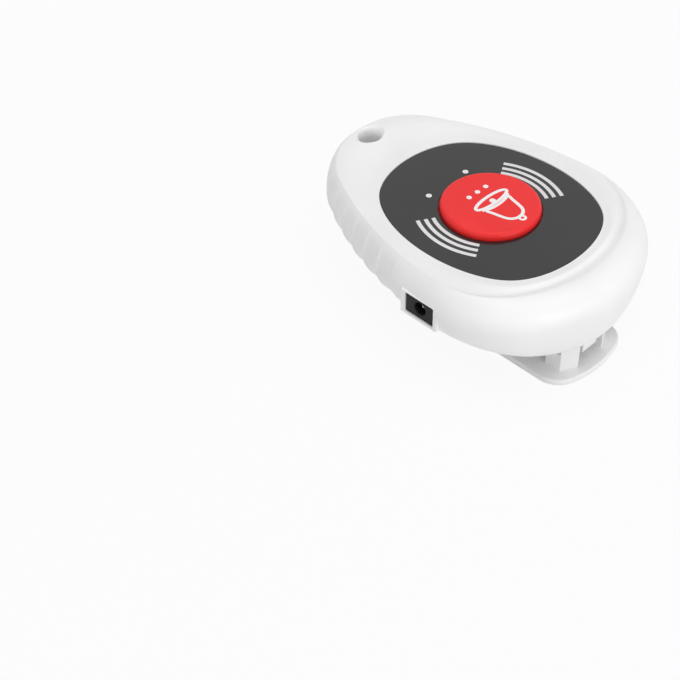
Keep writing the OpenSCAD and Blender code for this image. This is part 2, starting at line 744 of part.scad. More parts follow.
// Snap dome under the plunger: a thin cap of a sphere on the floor of the well
dome_radius = 2;
dome_thickness = 0.12;
module switch_dome() {
    floor = board_z + switch_height - switch_plate_thickness - switch_well;
    rise = switch_well - 2 * plunger_clearance - plunger_foot;
    ball = (dome_radius ^ 2 + rise ^ 2) / (2 * rise);
    color("silver") translate([0, key_y, 0]) rotate_extrude() intersection() {
        translate([0, floor + rise - ball]) difference() {
            circle(ball);
            circle(ball - dome_thickness);
        }
        translate([0, floor]) square([dome_radius, rise]);
    }
}

module switch_plunger() {
    under = board_z + switch_height - switch_plate_thickness;
    foot_top = under - plunger_clearance;
    color("black") translate([0, key_y, 0]) {
        translate([0, 0, foot_top - plunger_foot]) cylinder(r = plunger_foot_radius, h = plunger_foot);
        translate([0, 0, foot_top - plunger_foot])
            cylinder(d = plunger_diameter, h = plunger_z - foot_top + plunger_foot);
    }
}

// A moulded chip on the board with a row of leads along both long sides
lead_width = 0.4;
lead_reach = 0.9;
lead_height = 0.7;
chip_standoff = 0.1;
module chip(place, size, leads, pitch) {
    translate([place.x, place.y, board_z]) {
        slab([-size.x / 2, -size.y / 2, chip_standoff], [size.x / 2, size.y / 2, size.z]);
        for (i = [0:leads - 1]) {
            x = (i - (leads - 1) / 2) * pitch;
            slab([x - lead_width / 2, -size.y / 2 - lead_reach, 0],
                [x + lead_width / 2, size.y / 2 + lead_reach, lead_height]);
        }
    }
}

board_end_y = edge_point(180, board_inset(180)).y;
board_tip_y = edge_point(0, board_inset(0)).y;
controller_inset = 12.7;
controller_size = [9.9, 3.9, 1.6];
radio_inset = 5.5;
radio_size = [4.9, 3.9, 1.5];
wide_pitch = 1.27;
charger_inset = [6.5, 3];
charger_size = [2.9, 1.6, 1.1];
narrow_pitch = 0.95;
crystal_inset = 1.2;
crystal_place = [0, light_places[0].y - crystal_inset];
module controller_chip() {
    color("black") chip([0, board_end_y + controller_inset], controller_size, 8, wide_pitch);
}

module radio_chip() {
    color("black") chip([0, board_tip_y - radio_inset], radio_size, 4, wide_pitch);
}

module charger_chip() {
    color("black") chip([-jack_rear_x + charger_inset.x, jack_y - charger_inset.y], charger_size, 3, narrow_pitch);
}

crystal_size = [10.5, 4.4, 3.4];
module crystal() {
    half = crystal_size.y / 2;
    color("silver") translate([crystal_place.x, crystal_place.y, board_z]) {
        slab([half - crystal_size.x / 2, -half, 0], [crystal_size.x / 2 - half, half, crystal_size.z]);
        for (side = [-1, 1]) translate([side * (crystal_size.x / 2 - half), 0, 0])
            cylinder(r = half, h = crystal_size.z);
    }
}

// Resistors and capacitors in rows beside the chips
part_size = [2, 1.25, 0.8];
part_pitch = 2.6;
part_out = 9;
part_back = 14.5;
part_row_step = 12.5;
part_beside = [11.5, 9];
part_front = 3;
part_rows = [[-part_out, key_y - part_back, 4], [part_row_step - part_out, key_y - part_back, 3],
    [part_beside.x, key_y - part_beside.y, 3], [part_out, key_y + part_front, 3]];
module small_parts() {
    color("tan") for (row = part_rows) for (i = [0:row[2] - 1])
        slab([row[0] + i * part_pitch, row[1], board_z],
            [row[0] + i * part_pitch + part_size.x, row[1] + part_size.y, board_z + part_size.z]);
}

// Antenna: a wire wound along X, with both ends turned down to the board
antenna_pitch = 1.5;
antenna_back = 20.4;
antenna_lift = 0.3;
antenna_rings = 10;
antenna_leg = 1.5;
antenna_bend = 0.7;
antenna_dip = 0.6;
function antenna_path() = let (
    y = key_y + antenna_back,
    z = board_z + antenna_lift + antenna_radius + antenna_wire / 2,
    half = antenna_turns * antenna_pitch / 2,
    steps = antenna_turns * antenna_rings
) concat(
    [[-half - antenna_leg, y - antenna_radius, board_z],
        [-half - antenna_leg, y - antenna_radius, z - antenna_dip],
        [-half - antenna_bend, y - antenna_radius, z - antenna_dip / 6]],
    [for (i = [0:steps]) let (a = 360 * i / antenna_rings)
        [mix(-half, half, i / steps), y - antenna_radius * cos(a), z + antenna_radius * sin(a)]],
    [[half + antenna_bend, y - antenna_radius, z - antenna_dip / 6],
        [half + antenna_leg, y - antenna_radius, z - antenna_dip],
        [half + antenna_leg, y - antenna_radius, board_z]]);
module antenna_coil() {
    color("goldenrod") tube(antenna_path(), antenna_wire / 2, 6);
}

// Charging jack: a moulded block with a socket, its centre pin and three contacts on the board
socket_depth = 9.5;
pin_setback = 1.2;
contact_size = [2.2, 1.2, 0.4];
module jack_body() {
    color("black") difference() {
        slab([-jack_face_x, jack_y - jack_width / 2, jack_z - jack_height / 2],
            [-jack_rear_x, jack_y + jack_width / 2, jack_z + jack_height / 2]);
        translate([-jack_face_x - cut, jack_y, jack_z]) rotate([0, 90, 0])
            cylinder(d = jack_socket, h = socket_depth + cut);
    }
}

module jack_pin() {
    color("silver") translate([-jack_face_x + pin_setback, jack_y, jack_z]) rotate([0, 90, 0])
        cylinder(d = jack_pin_diameter, h = socket_depth - pin_setback);
}

module jack_contacts() {
    color("silver") for (i = [-1:1]) {
        y = jack_y + i * jack_width / 3;
        slab([-jack_rear_x, y - contact_size.y / 2, board_z],
            [-jack_rear_x + contact_size.x, y + contact_size.y / 2, board_z + contact_size.z]);
    }
}

// Battery: a cell on its tape, its leads and the plug and socket that join it to the board
battery_z = lid_top_z + tape_thickness;
battery_end_y = battery_y + battery_length / 2;
tape_inset = 1;
module battery_cell() {
    color("silver") slab([-battery_width / 2, battery_y - battery_length / 2, battery_z],
        [battery_width / 2, battery_end_y, battery_z + battery_thickness]);
}

module battery_tape() {
    half = [battery_width / 2 - tape_inset, battery_length / 2 - tape_inset];
    color("lightyellow") slab([-half.x, battery_y - half.y, lid_top_z], [half.x, battery_y + half.y, battery_z]);
}

socket_size = [6, 4.5, 3.8];
socket_corner = [12.2, -6];
socket_wall = 0.6;
plug_size = [4.6, 4, 2.4];
plug_insert = 2.5;
plug_gap = 0.1;
plug_y = socket_corner.y + socket_size.y - plug_insert;
plug_top_z = board_under_z - socket_wall - plug_gap;
plug_x = socket_corner.x + socket_size.x / 2;
module battery_socket() {
    color("ivory") difference() {
        slab([socket_corner.x, socket_corner.y, board_under_z - socket_size.z],
            [socket_corner.x + socket_size.x, socket_corner.y + socket_size.y, board_under_z]);
        slab([plug_x - plug_size.x / 2 - plug_gap, plug_y, plug_top_z - plug_size.z - plug_gap],
            [plug_x + plug_size.x / 2 + plug_gap, socket_corner.y + socket_size.y + cut, plug_top_z + plug_gap]);
    }
}

module battery_plug() {
    color("white") slab([plug_x - plug_size.x / 2, plug_y, plug_top_z - plug_size.z],
        [plug_x + plug_size.x / 2, plug_y + plug_size.y, plug_top_z]);
}

// Each lead runs straight out of the plug, turns back and ends on the battery's end face
lead_start_y = plug_y + plug_size.y;
lead_plug_z = plug_top_z - plug_size.z / 2;
lead_cell_z = battery_z + battery_thickness / 2;
lead_bend = 2.5;
lead_ease = 0.4;
lead_straight = 1.5;
function lead_path(plug_offset, cell_x, crown) = let (
    x = plug_x + plug_offset
) [
    [x, lead_start_y, lead_plug_z], [x, lead_start_y + lead_straight, lead_plug_z],
    [x - lead_ease, crown - lead_bend, lead_plug_z], [x - lead_bend, crown - lead_ease, lead_plug_z],
    [mix(x, cell_x, 0.5), crown, mix(lead_plug_z, lead_cell_z, 0.5)],
    [cell_x + lead_bend, crown - lead_ease, lead_cell_z],
    [cell_x + lead_ease, crown - lead_bend, lead_cell_z],
    [cell_x, battery_end_y + lead_straight, lead_cell_z], [cell_x, battery_end_y, lead_cell_z]];
lead_offset = 1.1;
lead_crown = 5;
lead_spread = 2.2;
red_cell_x = 6;
black_cell_x = 2.5;
module battery_lead_red() {
    color("red") tube(lead_path(-lead_offset, red_cell_x, battery_end_y + lead_crown), lead_diameter / 2, 8);
}

module battery_lead_black() {
    color("black")
        tube(lead_path(lead_offset, black_cell_x, battery_end_y + lead_crown + lead_spread), lead_diameter / 2, 8);
}

// A pan-head screw with a cross slot, head down
slot_width = 0.6;
slot_length = 2.2;
slot_depth = 0.5;
module screw(length) {
    difference() {
        union() {
            cylinder(d = screw_head, h = screw_head_height);
            cylinder(d = screw_diameter, h = screw_head_height + length);
        }
        for (turn = [0, 90]) rotate([0, 0, turn])
            slab([-slot_length / 2, -slot_width / 2, -cut], [slot_length / 2, slot_width / 2, slot_depth]);
    }
}

module case_screws() {
    color("silver") for (p = case_screw_places) translate([p.x, p.y, underside_z])
        screw(lid_thickness - screw_head_height + case_screw_length);
}

module board_screws() {
    color("silver") for (p = board_screw_places) translate([p.x, p.y, board_under_z - screw_head_height])
        screw(board_thickness + board_screw_length);
}

// Outline of the clip from above: straight sides, and a bowed thumb end with rounded corners
clip_corner_steps = 6;
clip_bow_steps = 8;
function clip_outline() = let (
    half = clip_width / 2,
    flat = half - clip_corner,
    bow_radius = (flat ^ 2 + clip_bow ^ 2) / (2 * clip_bow),
    bow_turn = asin(flat / bow_radius),
    bow_x = flat + clip_corner * sin(bow_turn),
    corner_y = clip_thumb_y + clip_bow + clip_corner * cos(bow_turn)
) both_sides(concat(
    [[0, clip_jaw_y + cut], [half, clip_jaw_y + cut]],
    [for (i = [0:clip_corner_steps]) let (a = mix(90, bow_turn, i / clip_corner_steps))
        [flat + clip_corner * sin(a), corner_y - clip_corner * cos(a)]],
    [for (i = [1:clip_bow_steps - 1]) let (a = mix(bow_turn, 0, i / clip_bow_steps))
        [bow_x * sin(a) / sin(bow_turn),
            clip_thumb_y + clip_bow * (1 - cos(a)) / (1 - cos(bow_turn))]],
    [[0, clip_thumb_y]]));

// Outline of the clip from the jaw's end: the lip has rounded upper corners
function clip_front() = let (
    half = clip_width / 2,
    corner = [for (i = [0:clip_corner_steps]) let (a = 90 * i / clip_corner_steps)
        [half - lip_corner * (1 - cos(a)), jaw_top_z - lip_corner * (1 - sin(a))]]
) concat([[-half, -cut], [half, -cut]], corner,
    [for (i = [clip_corner_steps:-1:0]) flip(corner[i])]);

// Side view of the clip: a flat plate whose jaw curls up to the seat
jaw_steps = 8;
function clip_side() = let (
    start = clip_jaw_y - jaw_length,
    rise = jaw_top_z - clip_thickness
) concat(
    [[clip_thumb_y - cut, 0], [clip_thumb_y - cut, clip_thickness]],
    [for (i = [0:jaw_steps]) let (a = 90 * i / jaw_steps)
        [start + (jaw_length - clip_thickness) * sin(a), clip_thickness + rise * (1 - cos(a))]],
    [for (i = [jaw_steps:-1:0]) let (a = 90 * i / jaw_steps)
        [start + jaw_length * sin(a), jaw_top_z * (1 - cos(a))]]);

module ear() {
    back = hinge_y + ear_radius;
    front = hinge_y - ear_radius;
    difference() {
        union() {
            prism([[ear_in, front], [ear_out, front + ear_slant], [ear_out, back], [ear_in, back]],
                clip_thickness / 2, hinge_z);
            intersection() {
                hinge_bore(ear_radius, ear_in, ear_out);
                prism([[ear_in, front], [ear_out, front + ear_slant], [ear_out, back], [ear_in, back]],
                    clip_thickness, underside_z);
            }
        }
        hinge_bore(pin_radius, ear_in - cut, ear_out + cut);
    }
}

module belt_clip() {
    color("white") {
        intersection() {
            along_x(clip_side(), -clip_width, clip_width);
            prism(clip_outline(), -cut, underside_z);
            along_y(clip_front(), clip_thumb_y - cut, clip_jaw_y + cut);
        }
        for (side = [0, 1]) mirror([side, 0, 0]) ear();
    }
}

pin_end_gap = 0.2;
module hinge_pin() {
    color("silver") hinge_bore(pin_radius, -ear_out + pin_end_gap, ear_out - pin_end_gap);
}

// Spring of the clip: two coils on the pin, a bridge under the rear cover and a leg on each side of the clip
clip_spring_pitch = 0.85;
clip_spring_turns = 1.5;
clip_spring_rings = 12;
clip_leg = 7;
clip_spring_radius = pin_radius + 0.2 + clip_spring_wire / 2;
function clip_spring_half() = let (
    steps = clip_spring_turns * clip_spring_rings,
    start = knuckle_width / 2 + 0.1 + clip_spring_wire / 2,
    bridge_y = hinge_y + knuckle_reach + 0.2 + clip_spring_wire / 2,
    top = underside_z - 0.1 - clip_spring_wire / 2,
    foot = clip_thickness + 0.1 + clip_spring_wire / 2
) concat(
    [[0, bridge_y, top], [start - 0.3, bridge_y, top], [start, bridge_y - 0.3, top - 0.4]],
    [for (i = [0:steps]) let (a = 45 + 360 * i / clip_spring_rings)
        [start + clip_spring_pitch * i / clip_spring_rings, hinge_y + clip_spring_radius * cos(a),
            hinge_z + clip_spring_radius * sin(a)]],
    [[start + clip_spring_pitch * clip_spring_turns, hinge_y + 1.5, foot + 1],
        [start + clip_spring_pitch * clip_spring_turns, hinge_y + 3, foot],
        [start + clip_spring_pitch * clip_spring_turns, hinge_y + clip_leg, foot]]);
function clip_spring_path() = let (half = clip_spring_half()) concat(
    [for (i = [len(half) - 1:-1:1]) [-half[i].x, half[i].y, half[i].z]], half);
module clip_spring() {
    color("silver") tube(clip_spring_path(), clip_spring_wire / 2, 6);
}

echo("least gap in the key's spring", least_gap(key_spring_path(), key_spring_wire, spring_rings / 2));
echo("least gap in the antenna", least_gap(antenna_path(), antenna_wire, antenna_rings / 2));
echo("least gap in the clip's spring", least_gap(clip_spring_half(), clip_spring_wire, clip_spring_rings / 2));

front_cover();
rear_cover();
faceplate();
faceplate_adhesive();
call_button();
button_spring();
light_pipes();
indicator_leds();
circuit_board();
switch_body();
switch_plate();
switch_dome();
switch_plunger();
controller_chip();
radio_chip();
charger_chip();
crystal();
small_parts();
antenna_coil();
jack_body();
jack_pin();
jack_contacts();
battery_cell();
battery_tape();
battery_socket();
battery_plug();
battery_lead_red();
battery_lead_black();
case_screws();
board_screws();
belt_clip();
hinge_pin();
clip_spring();
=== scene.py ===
"""Looks of the nurse call button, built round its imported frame.

Shapes are worked out in millimetres in the frame's own axes: +Z out of the face, +Y to the lanyard
end, +X to the right. They become metres where a mesh is made.
"""

import bmesh
import bpy
import numpy as np
from mathutils import Matrix
from numpy import array, concatenate, cos, linspace, pi, radians, sin, stack


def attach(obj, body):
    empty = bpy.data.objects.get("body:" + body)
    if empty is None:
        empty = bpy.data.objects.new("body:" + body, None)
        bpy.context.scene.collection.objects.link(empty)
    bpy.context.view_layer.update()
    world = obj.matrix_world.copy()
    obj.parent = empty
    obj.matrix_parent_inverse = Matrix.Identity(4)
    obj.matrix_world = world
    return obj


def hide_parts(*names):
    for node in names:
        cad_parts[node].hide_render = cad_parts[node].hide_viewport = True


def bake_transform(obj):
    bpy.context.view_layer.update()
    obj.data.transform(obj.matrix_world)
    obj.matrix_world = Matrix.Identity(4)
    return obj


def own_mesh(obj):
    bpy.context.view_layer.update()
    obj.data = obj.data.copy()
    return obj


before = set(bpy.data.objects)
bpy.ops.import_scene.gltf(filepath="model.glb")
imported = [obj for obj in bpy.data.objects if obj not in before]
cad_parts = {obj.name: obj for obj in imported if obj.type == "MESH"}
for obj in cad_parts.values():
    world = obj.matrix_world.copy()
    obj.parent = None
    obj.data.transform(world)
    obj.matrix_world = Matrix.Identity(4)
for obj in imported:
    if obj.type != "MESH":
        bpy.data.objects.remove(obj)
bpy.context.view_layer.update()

MM = 0.001

# Heights of the case
UNDERSIDE = 11.8
WIDEST = 23.6
FACE = 30.5
MARGIN = 30.9
RECESS = 29.8
PLATE_FOOT = 29.9
CEILING = 28.3
LID_TOP = 13.6
FLOOR = 14.8
BOARD = 21.0

# Places along the case
KEY = array([0.0, -4.0])
KEY_RADIUS = 13.0
KEY_HOLE = 13.35
KEY_TOP = 32.4
PLATE = array([0.0, -3.4])
LANYARD = array([0.0, 38.4])
HINGE_Y = -36.0
HINGE_Z = 7.9
HINGE = (HINGE_Y, HINGE_Z)
JACK_Y = -10.85
JACK_Z = 21.9
LIGHTS = array([[7.07, 10.69], [-7.07, 10.69]])


def mix(start, end, share):
    """The value a share of the way from start to end."""
    return start + (end - start) * share


def smooth_step(share):
    """A share that starts and ends flat: three times its square less twice its cube."""
    share = np.clip(share, 0, 1)
    return share * share * (3 - 2 * share)


def heading(turn):
    """Unit vector of a bearing from +Y towards +X."""
    return stack([sin(turn), cos(turn)], -1)


def unit(vectors):
    """Vectors divided by their lengths."""
    return vectors / np.linalg.norm(vectors, axis=-1, keepdims=True)


# Outline of the case: four tangent arcs on each side, round the tip, the side, the corner and the end
HALF_LENGTH = 45.0
HALF_WIDTH = 34.2
TIP_RADIUS = 24.5
SIDE_RADIUS = 101.0
CORNER_RADIUS = 28.6
END_RADIUS = 38.3
ARC_RADII = array([TIP_RADIUS, SIDE_RADIUS, CORNER_RADIUS, END_RADIUS])
TIP_CENTRE = array([0.0, HALF_LENGTH - TIP_RADIUS])
END_CENTRE = array([0.0, END_RADIUS - HALF_LENGTH])
CORNER_X = HALF_WIDTH - CORNER_RADIUS
CORNER_Y = END_CENTRE[1] - np.sqrt((END_RADIUS - CORNER_RADIUS) ** 2 - CORNER_X**2)
CORNER_CENTRE = array([CORNER_X, CORNER_Y])


def side_centre():
    """Centre of the side's arc: it is as far from the tip's and the corner's centres as the side's
    radius is longer than theirs, on the far side of the case."""
    span = CORNER_CENTRE - TIP_CENTRE
    length = np.linalg.norm(span)
    tip_reach = SIDE_RADIUS - TIP_RADIUS
    corner_reach = SIDE_RADIUS - CORNER_RADIUS
    along = (tip_reach**2 - corner_reach**2 + length**2) / (2 * length)
    across = np.sqrt(tip_reach**2 - along**2)
    way = span / length
    return TIP_CENTRE + along * way + across * array([way[1], -way[0]])


SIDE_CENTRE = side_centre()
ARC_CENTRES = stack([TIP_CENTRE, SIDE_CENTRE, CORNER_CENTRE, END_CENTRE])
ARC_ENDS = stack([TIP_CENTRE - SIDE_CENTRE, CORNER_CENTRE - SIDE_CENTRE, CORNER_CENTRE - END_CENTRE])
ARC_TURNS = concatenate([[0.0], np.arctan2(ARC_ENDS[:, 0], ARC_ENDS[:, 1]), [pi]])
ARC_RUNS = concatenate([[0.0], np.cumsum(ARC_RADII * np.diff(ARC_TURNS))])

# Grips along each side
GRIP_FROM = 22.6
GRIP_PITCH = 6.35
GRIP_COUNT = 6
GRIP_DEPTH = 0.26
GRIP_BEAD = 0.4
GRIP_BEAD_WIDTH = 0.45
GRIP_TO = GRIP_FROM + GRIP_COUNT * GRIP_PITCH
GRIP_STATIONS = 32
GRIP_CROWDING = 0.8

# Stations round the case, half of them from the tip to the end, closest at the crests of the grips
TIP_STATIONS = 44
END_STATIONS = 110
GRIP_PLACES = linspace(0, GRIP_COUNT, GRIP_COUNT * GRIP_STATIONS, endpoint=False)
GRIP_PLACES = GRIP_PLACES - GRIP_CROWDING * sin(2 * pi * GRIP_PLACES) / (2 * pi)
HALF_STATIONS = concatenate([
    linspace(0, GRIP_FROM, TIP_STATIONS, endpoint=False),
    GRIP_FROM + GRIP_PITCH * GRIP_PLACES,
    linspace(GRIP_TO, ARC_RUNS[-1], END_STATIONS),
])
RUN = concatenate([HALF_STATIONS, HALF_STATIONS[-2:0:-1]])
MIRROR = np.ones((len(RUN), 2))
MIRROR[len(HALF_STATIONS):, 0] = -1
TURN = np.interp(RUN, ARC_RUNS, ARC_TURNS)
ON_GRIP = (RUN > GRIP_FROM) & (RUN < GRIP_TO)
GRIP_PLACE = (RUN - GRIP_FROM) / GRIP_PITCH
CREST_GAP = GRIP_PITCH * np.abs(GRIP_PLACE - np.round(GRIP_PLACE))
GRIP_HOLLOW = GRIP_DEPTH * np.abs(sin(pi * GRIP_PLACE))
GRIP_STEP = GRIP_BEAD * (1 - np.exp(-((CREST_GAP / GRIP_BEAD_WIDTH) ** 2)))
SCALLOP = np.where(ON_GRIP, GRIP_HOLLOW + GRIP_STEP, 0.0)


def round_value(at_end, at_side, at_tip):
    """A value round the case that is given at the fat end, at the sides and at the tip: a constant, a
    cosine of the bearing and a cosine of twice the bearing."""
    even = (at_end + at_tip) / 4
    half = at_side / 2
    return even + half + (at_tip - at_end) / 2 * cos(TURN) + (even - half) * cos(2 * TURN)


# Values round the case. The foot of the step up to the margin is a share of the way out to the rim, and
# the groove fades in from the sides to the fat end.
RIM_INSET = round_value(7.2, 3.4, 2.8)
BASE_INSET = round_value(2.9, 10.3, 5.2)
LID_INSET = round_value(4.5, 11.9, 13.2)
FOOT_END = 0.37
FOOT_SIDE = 0.88
FOOT = mix(FOOT_END, FOOT_SIDE, np.where(cos(TURN) > 0, 1.0, sin(TURN) ** 2))
GROOVE_DEPTH = 0.5
GROOVE = GROOVE_DEPTH * smooth_step((0.4 - cos(TURN)) / 0.9)
RIM = FACE + round_value(0.4, 0.4, 1.9)
RIM_TURN = radians(round_value(90.0, 58.0, 80.0))
BASE_FULLNESS = 1.68
MARGIN_WIDTH = 2.3
WALL = 2.0

# Outline of the faceplate
PLATE_LENGTH = 57.0
PLATE_WIDTH = 49.4
PLATE_TAPER = 0.31
PLATE_SQUARE = 0.735


def case_edge(inset):
    """Points of the case's outline at every station, moved inwards: the arc's centre plus its radius
    less the inset, along the bearing."""
    arc = np.searchsorted(ARC_TURNS[1:-1], TURN, side="right")
    reach = ARC_RADII[arc] - inset
    return (ARC_CENTRES[arc] + reach[..., None] * heading(TURN)) * MIRROR


def plate_edge(grow):
    """Points of the faceplate's outline, moved outwards. The outline is the envelope of its tangents,
    whose distance from the middle is a sum of cosines of one to four times the bearing."""
    two = (PLATE_LENGTH - PLATE_WIDTH) / 4
    mean = (PLATE_LENGTH + PLATE_WIDTH) / 4 + PLATE_SQUARE
    reach = mean - PLATE_TAPER * cos(TURN) + two * cos(2 * TURN)
    reach = reach + PLATE_TAPER * cos(3 * TURN) - PLATE_SQUARE * cos(4 * TURN) + grow
    slope = PLATE_TAPER * sin(TURN) - 2 * two * sin(2 * TURN)
    slope = slope - 3 * PLATE_TAPER * sin(3 * TURN) + 4 * PLATE_SQUARE * sin(4 * TURN)
    across = stack([cos(TURN), -sin(TURN)], -1)
    return (PLATE + reach[..., None] * heading(TURN) + slope[..., None] * across) * MIRROR


def key_circle(radius):
    """A circle round the call key, at the stations' bearings."""
    return (KEY + radius * heading(TURN)) * MIRROR


# The ramp from the margin to the rim at the tip
RAMP_FROM = plate_edge(MARGIN_WIDTH)[0, 1]
RAMP_LENGTH = FOOT[0] * (case_edge(RIM_INSET)[0, 1] - RAMP_FROM)


def at_level(points, level):
    """Rings in space from flat points and their level."""
    height = np.broadcast_to(level, points.shape[:-1])
    return concatenate([points, height[..., None]], -1)


def stacked(outline, insets, levels):
    """Rings of an outline, each drawn at its inset and its level."""
    return stack([at_level(outline(inset), level) for inset, level in zip(insets, levels)])


def rim_curve(angle):
    """Inset of the wall above the widest line, where it has turned through an angle: part of an ellipse
    that ends at the rim."""
    return RIM_INSET * (1 - cos(angle)) / (1 - cos(RIM_TURN))


def wall_inset(level):
    """Inset of the case's wall at a level: a full curve below the widest line and an ellipse above."""
    low = np.clip((WIDEST - level) / (WIDEST - UNDERSIDE), 0, 1) ** BASE_FULLNESS
    angle = np.arcsin(np.clip((level - WIDEST) / (RIM - WIDEST), 0, 1) * sin(RIM_TURN))
    below = BASE_INSET * (1 - (1 - low) ** (1 / BASE_FULLNESS))
    return np.where(level < WIDEST, below, rim_curve(angle))


def closed_surface(rings, wrap=False, caps=True):
    """Points and faces of a surface through rings: four-sided faces between neighbouring rings, with the
    last ring joined to the first or a flat cap on each end."""
    count, stations = rings.shape[:2]
    index = np.arange(count * stations).reshape(count, stations)
    loops = np.vstack([index, index[:1]]) if wrap else index
    near = loops[:-1]
    far = loops[1:]
    quads = stack([near, np.roll(near, -1, 1), np.roll(far, -1, 1), far], -1)
    quads = quads.reshape(-1, 4).tolist()
    if caps and not wrap:
        quads = quads + [index[0][::-1].tolist(), index[-1].tolist()]
    return rings.reshape(-1, 3), quads


def loft(outline, insets, levels, axes=(0, 1, 2)):
    """A solid through copies of an outline, each drawn in by its inset at its level. The axes say which
    of the outline's two ways and the level run along X, Y and Z."""
    rings = stacked(outline, insets, levels)
    return closed_surface(rings[..., list(axes)])


# Axes of a solid whose levels run along X
ALONG_X = (2, 0, 1)


def rounded_edges(low, high, round_low, round_high, steps):
    """Insets and levels of a plate's side, whose lower and upper edge are quarter circles."""
    turn = linspace(0, pi / 2, steps)
    rise = 1 - cos(turn)
    fall = 1 - sin(turn)
    insets = concatenate([round_low * fall, round_high * rise])
    levels = concatenate([low + round_low * rise, high - round_high * fall])
    return insets, levels


def slab(outline, low, high, round_low, round_high, axes=(0, 1, 2)):
    """A plate between two levels with rounded edges."""
    insets, levels = rounded_edges(low, high, round_low, round_high, 5)
    return loft(outline, insets, levels, axes)


def rounded_polygon(corners, radius, steps=6):
    """Outline of a convex polygon with rounded corners, as a function of its inset: arcs about the
    points that lie the radius inside both edges of each corner."""
    corners = array(corners, float)
    ahead = unit(np.roll(corners, -1, 0) - corners)
    outward = stack([ahead[:, 1], -ahead[:, 0]], -1)
    before = np.roll(outward, 1, 0)
    spread = 1 + np.sum(before * outward, -1, keepdims=True)
    centres = corners - radius * (before + outward) / spread
    first = np.arctan2(before[:, 1], before[:, 0])
    sweep = np.mod(np.arctan2(outward[:, 1], outward[:, 0]) - first, 2 * pi)
    turn = first[:, None] + sweep[:, None] * linspace(0, 1, steps)
    spokes = stack([cos(turn), sin(turn)], -1)
    return lambda inset: (centres[:, None] + (radius - inset) * spokes).reshape(-1, 2)


def rectangle(low, high, radius, steps=6):
    """Outline of a rectangle between two corners, with rounded corners."""
    corners = [(low[0], low[1]), (high[0], low[1]), (high[0], high[1]), (low[0], high[1])]
    return rounded_polygon(corners, radius, steps)


def lathe(profile, centre, axes=(0, 1, 2), stations=64):
    """A turned solid: radius and level along the profile, turned about a centre, with flat ends."""
    profile = array(profile, float)
    turn = linspace(0, 2 * pi, stations, endpoint=False)
    flat = array(centre) + profile[:, 0, None, None] * heading(turn)
    return closed_surface(at_level(flat, profile[:, 1, None])[..., list(axes)])


def smooth_path(points, steps):
    """A curve through points: between two points, the cubic whose slope at each is half the step from
    the point before to the point after."""
    points = array(points, float)
    ends = concatenate([[2 * points[0] - points[1]], points, [2 * points[-1] - points[-2]]])
    share = linspace(0, 1, steps, endpoint=False)[None, :, None]
    before, start, end, after = (ends[i:len(ends) - 3 + i, None] for i in range(4))
    curve = start + share * (end - before) / 2
    curve = curve + share**2 * (before - 2.5 * start + 2 * end - after / 2)
    curve = curve + share**3 * (3 * (start - end) + after - before) / 2
    return concatenate([curve.reshape(-1, points.shape[1]), points[-1:]])


def tube(path, radius, reference, stations=16):
    """A round wire along a path: circles square to it, set by a direction that it never runs along."""
    along = unit(np.gradient(path, axis=0))
    reference = array(reference, float)
    first = unit(reference - np.sum(reference * along, -1, keepdims=True) * along)
    second = np.cross(along, first)
    turn = linspace(0, 2 * pi, stations, endpoint=False)[:, None]
    rings = path[:, None] + radius * (cos(turn) * first[:, None] + sin(turn) * second[:, None])
    return closed_surface(rings)


def stroke(path, width, low, high, loop=False):
    """A printed line: a flat rectangle carried along a path in the plane."""
    step = np.roll(path, -1, 0) - np.roll(path, 1, 0) if loop else np.gradient(path, axis=0)
    along = unit(step)
    across = stack([-along[:, 1], along[:, 0]], -1) * width / 2
    left = path + across
    right = path - across
    lines = [at_level(left, low), at_level(left, high), at_level(right, high), at_level(right, low)]
    return closed_surface(stack(lines, 1), wrap=loop)


def make_mesh(name, *surfaces):
    """One mesh, in metres, from closed surfaces: doubled points are merged and faces turned outwards."""
    whole = bmesh.new()
    for points, faces in surfaces:
        mesh = bpy.data.meshes.new(name)
        mesh.from_pydata((points * MM).tolist(), [], faces)
        part = bmesh.new()
        part.from_mesh(mesh)
        bmesh.ops.remove_doubles(part, verts=part.verts, dist=1e-7)
        if part.calc_volume(signed=True) < 0:
            bmesh.ops.reverse_faces(part, faces=part.faces)
        part.to_mesh(mesh)
        part.free()
        whole.from_mesh(mesh)
        bpy.data.meshes.remove(mesh)
    mesh = bpy.data.meshes.new(name)
    whole.to_mesh(mesh)
    whole.free()
    return mesh


def surface_of(mesh):
    """Points, in millimetres, and faces of a mesh."""
    points = np.zeros(len(mesh.vertices) * 3)
    mesh.vertices.foreach_get("co", points)
    return points.reshape(-1, 3) / MM, [list(polygon.vertices) for polygon in mesh.polygons]


def add_object(name, data):
    """A new object in the scene."""
    obj = bpy.data.objects.new(name, data)
    bpy.context.scene.collection.objects.link(obj)
    return obj


def carve(mesh, operation, *tools):
    """The mesh after closed tools are joined to it, cut out of it, or kept where they meet it."""
    block = add_object("block", mesh)
    tool = add_object("tool", make_mesh("tool", *tools))
    modifier = block.modifiers.new("carve", "BOOLEAN")
    modifier.operation = operation
    modifier.solver = "MANIFOLD"
    modifier.object = tool
    depsgraph = bpy.context.evaluated_depsgraph_get()
    result = bpy.data.meshes.new_from_object(block.evaluated_get(depsgraph))
    result.name = mesh.name
    for obj in (block, tool):
        data = obj.data
        bpy.data.objects.remove(obj)
        bpy.data.meshes.remove(data)
    return result


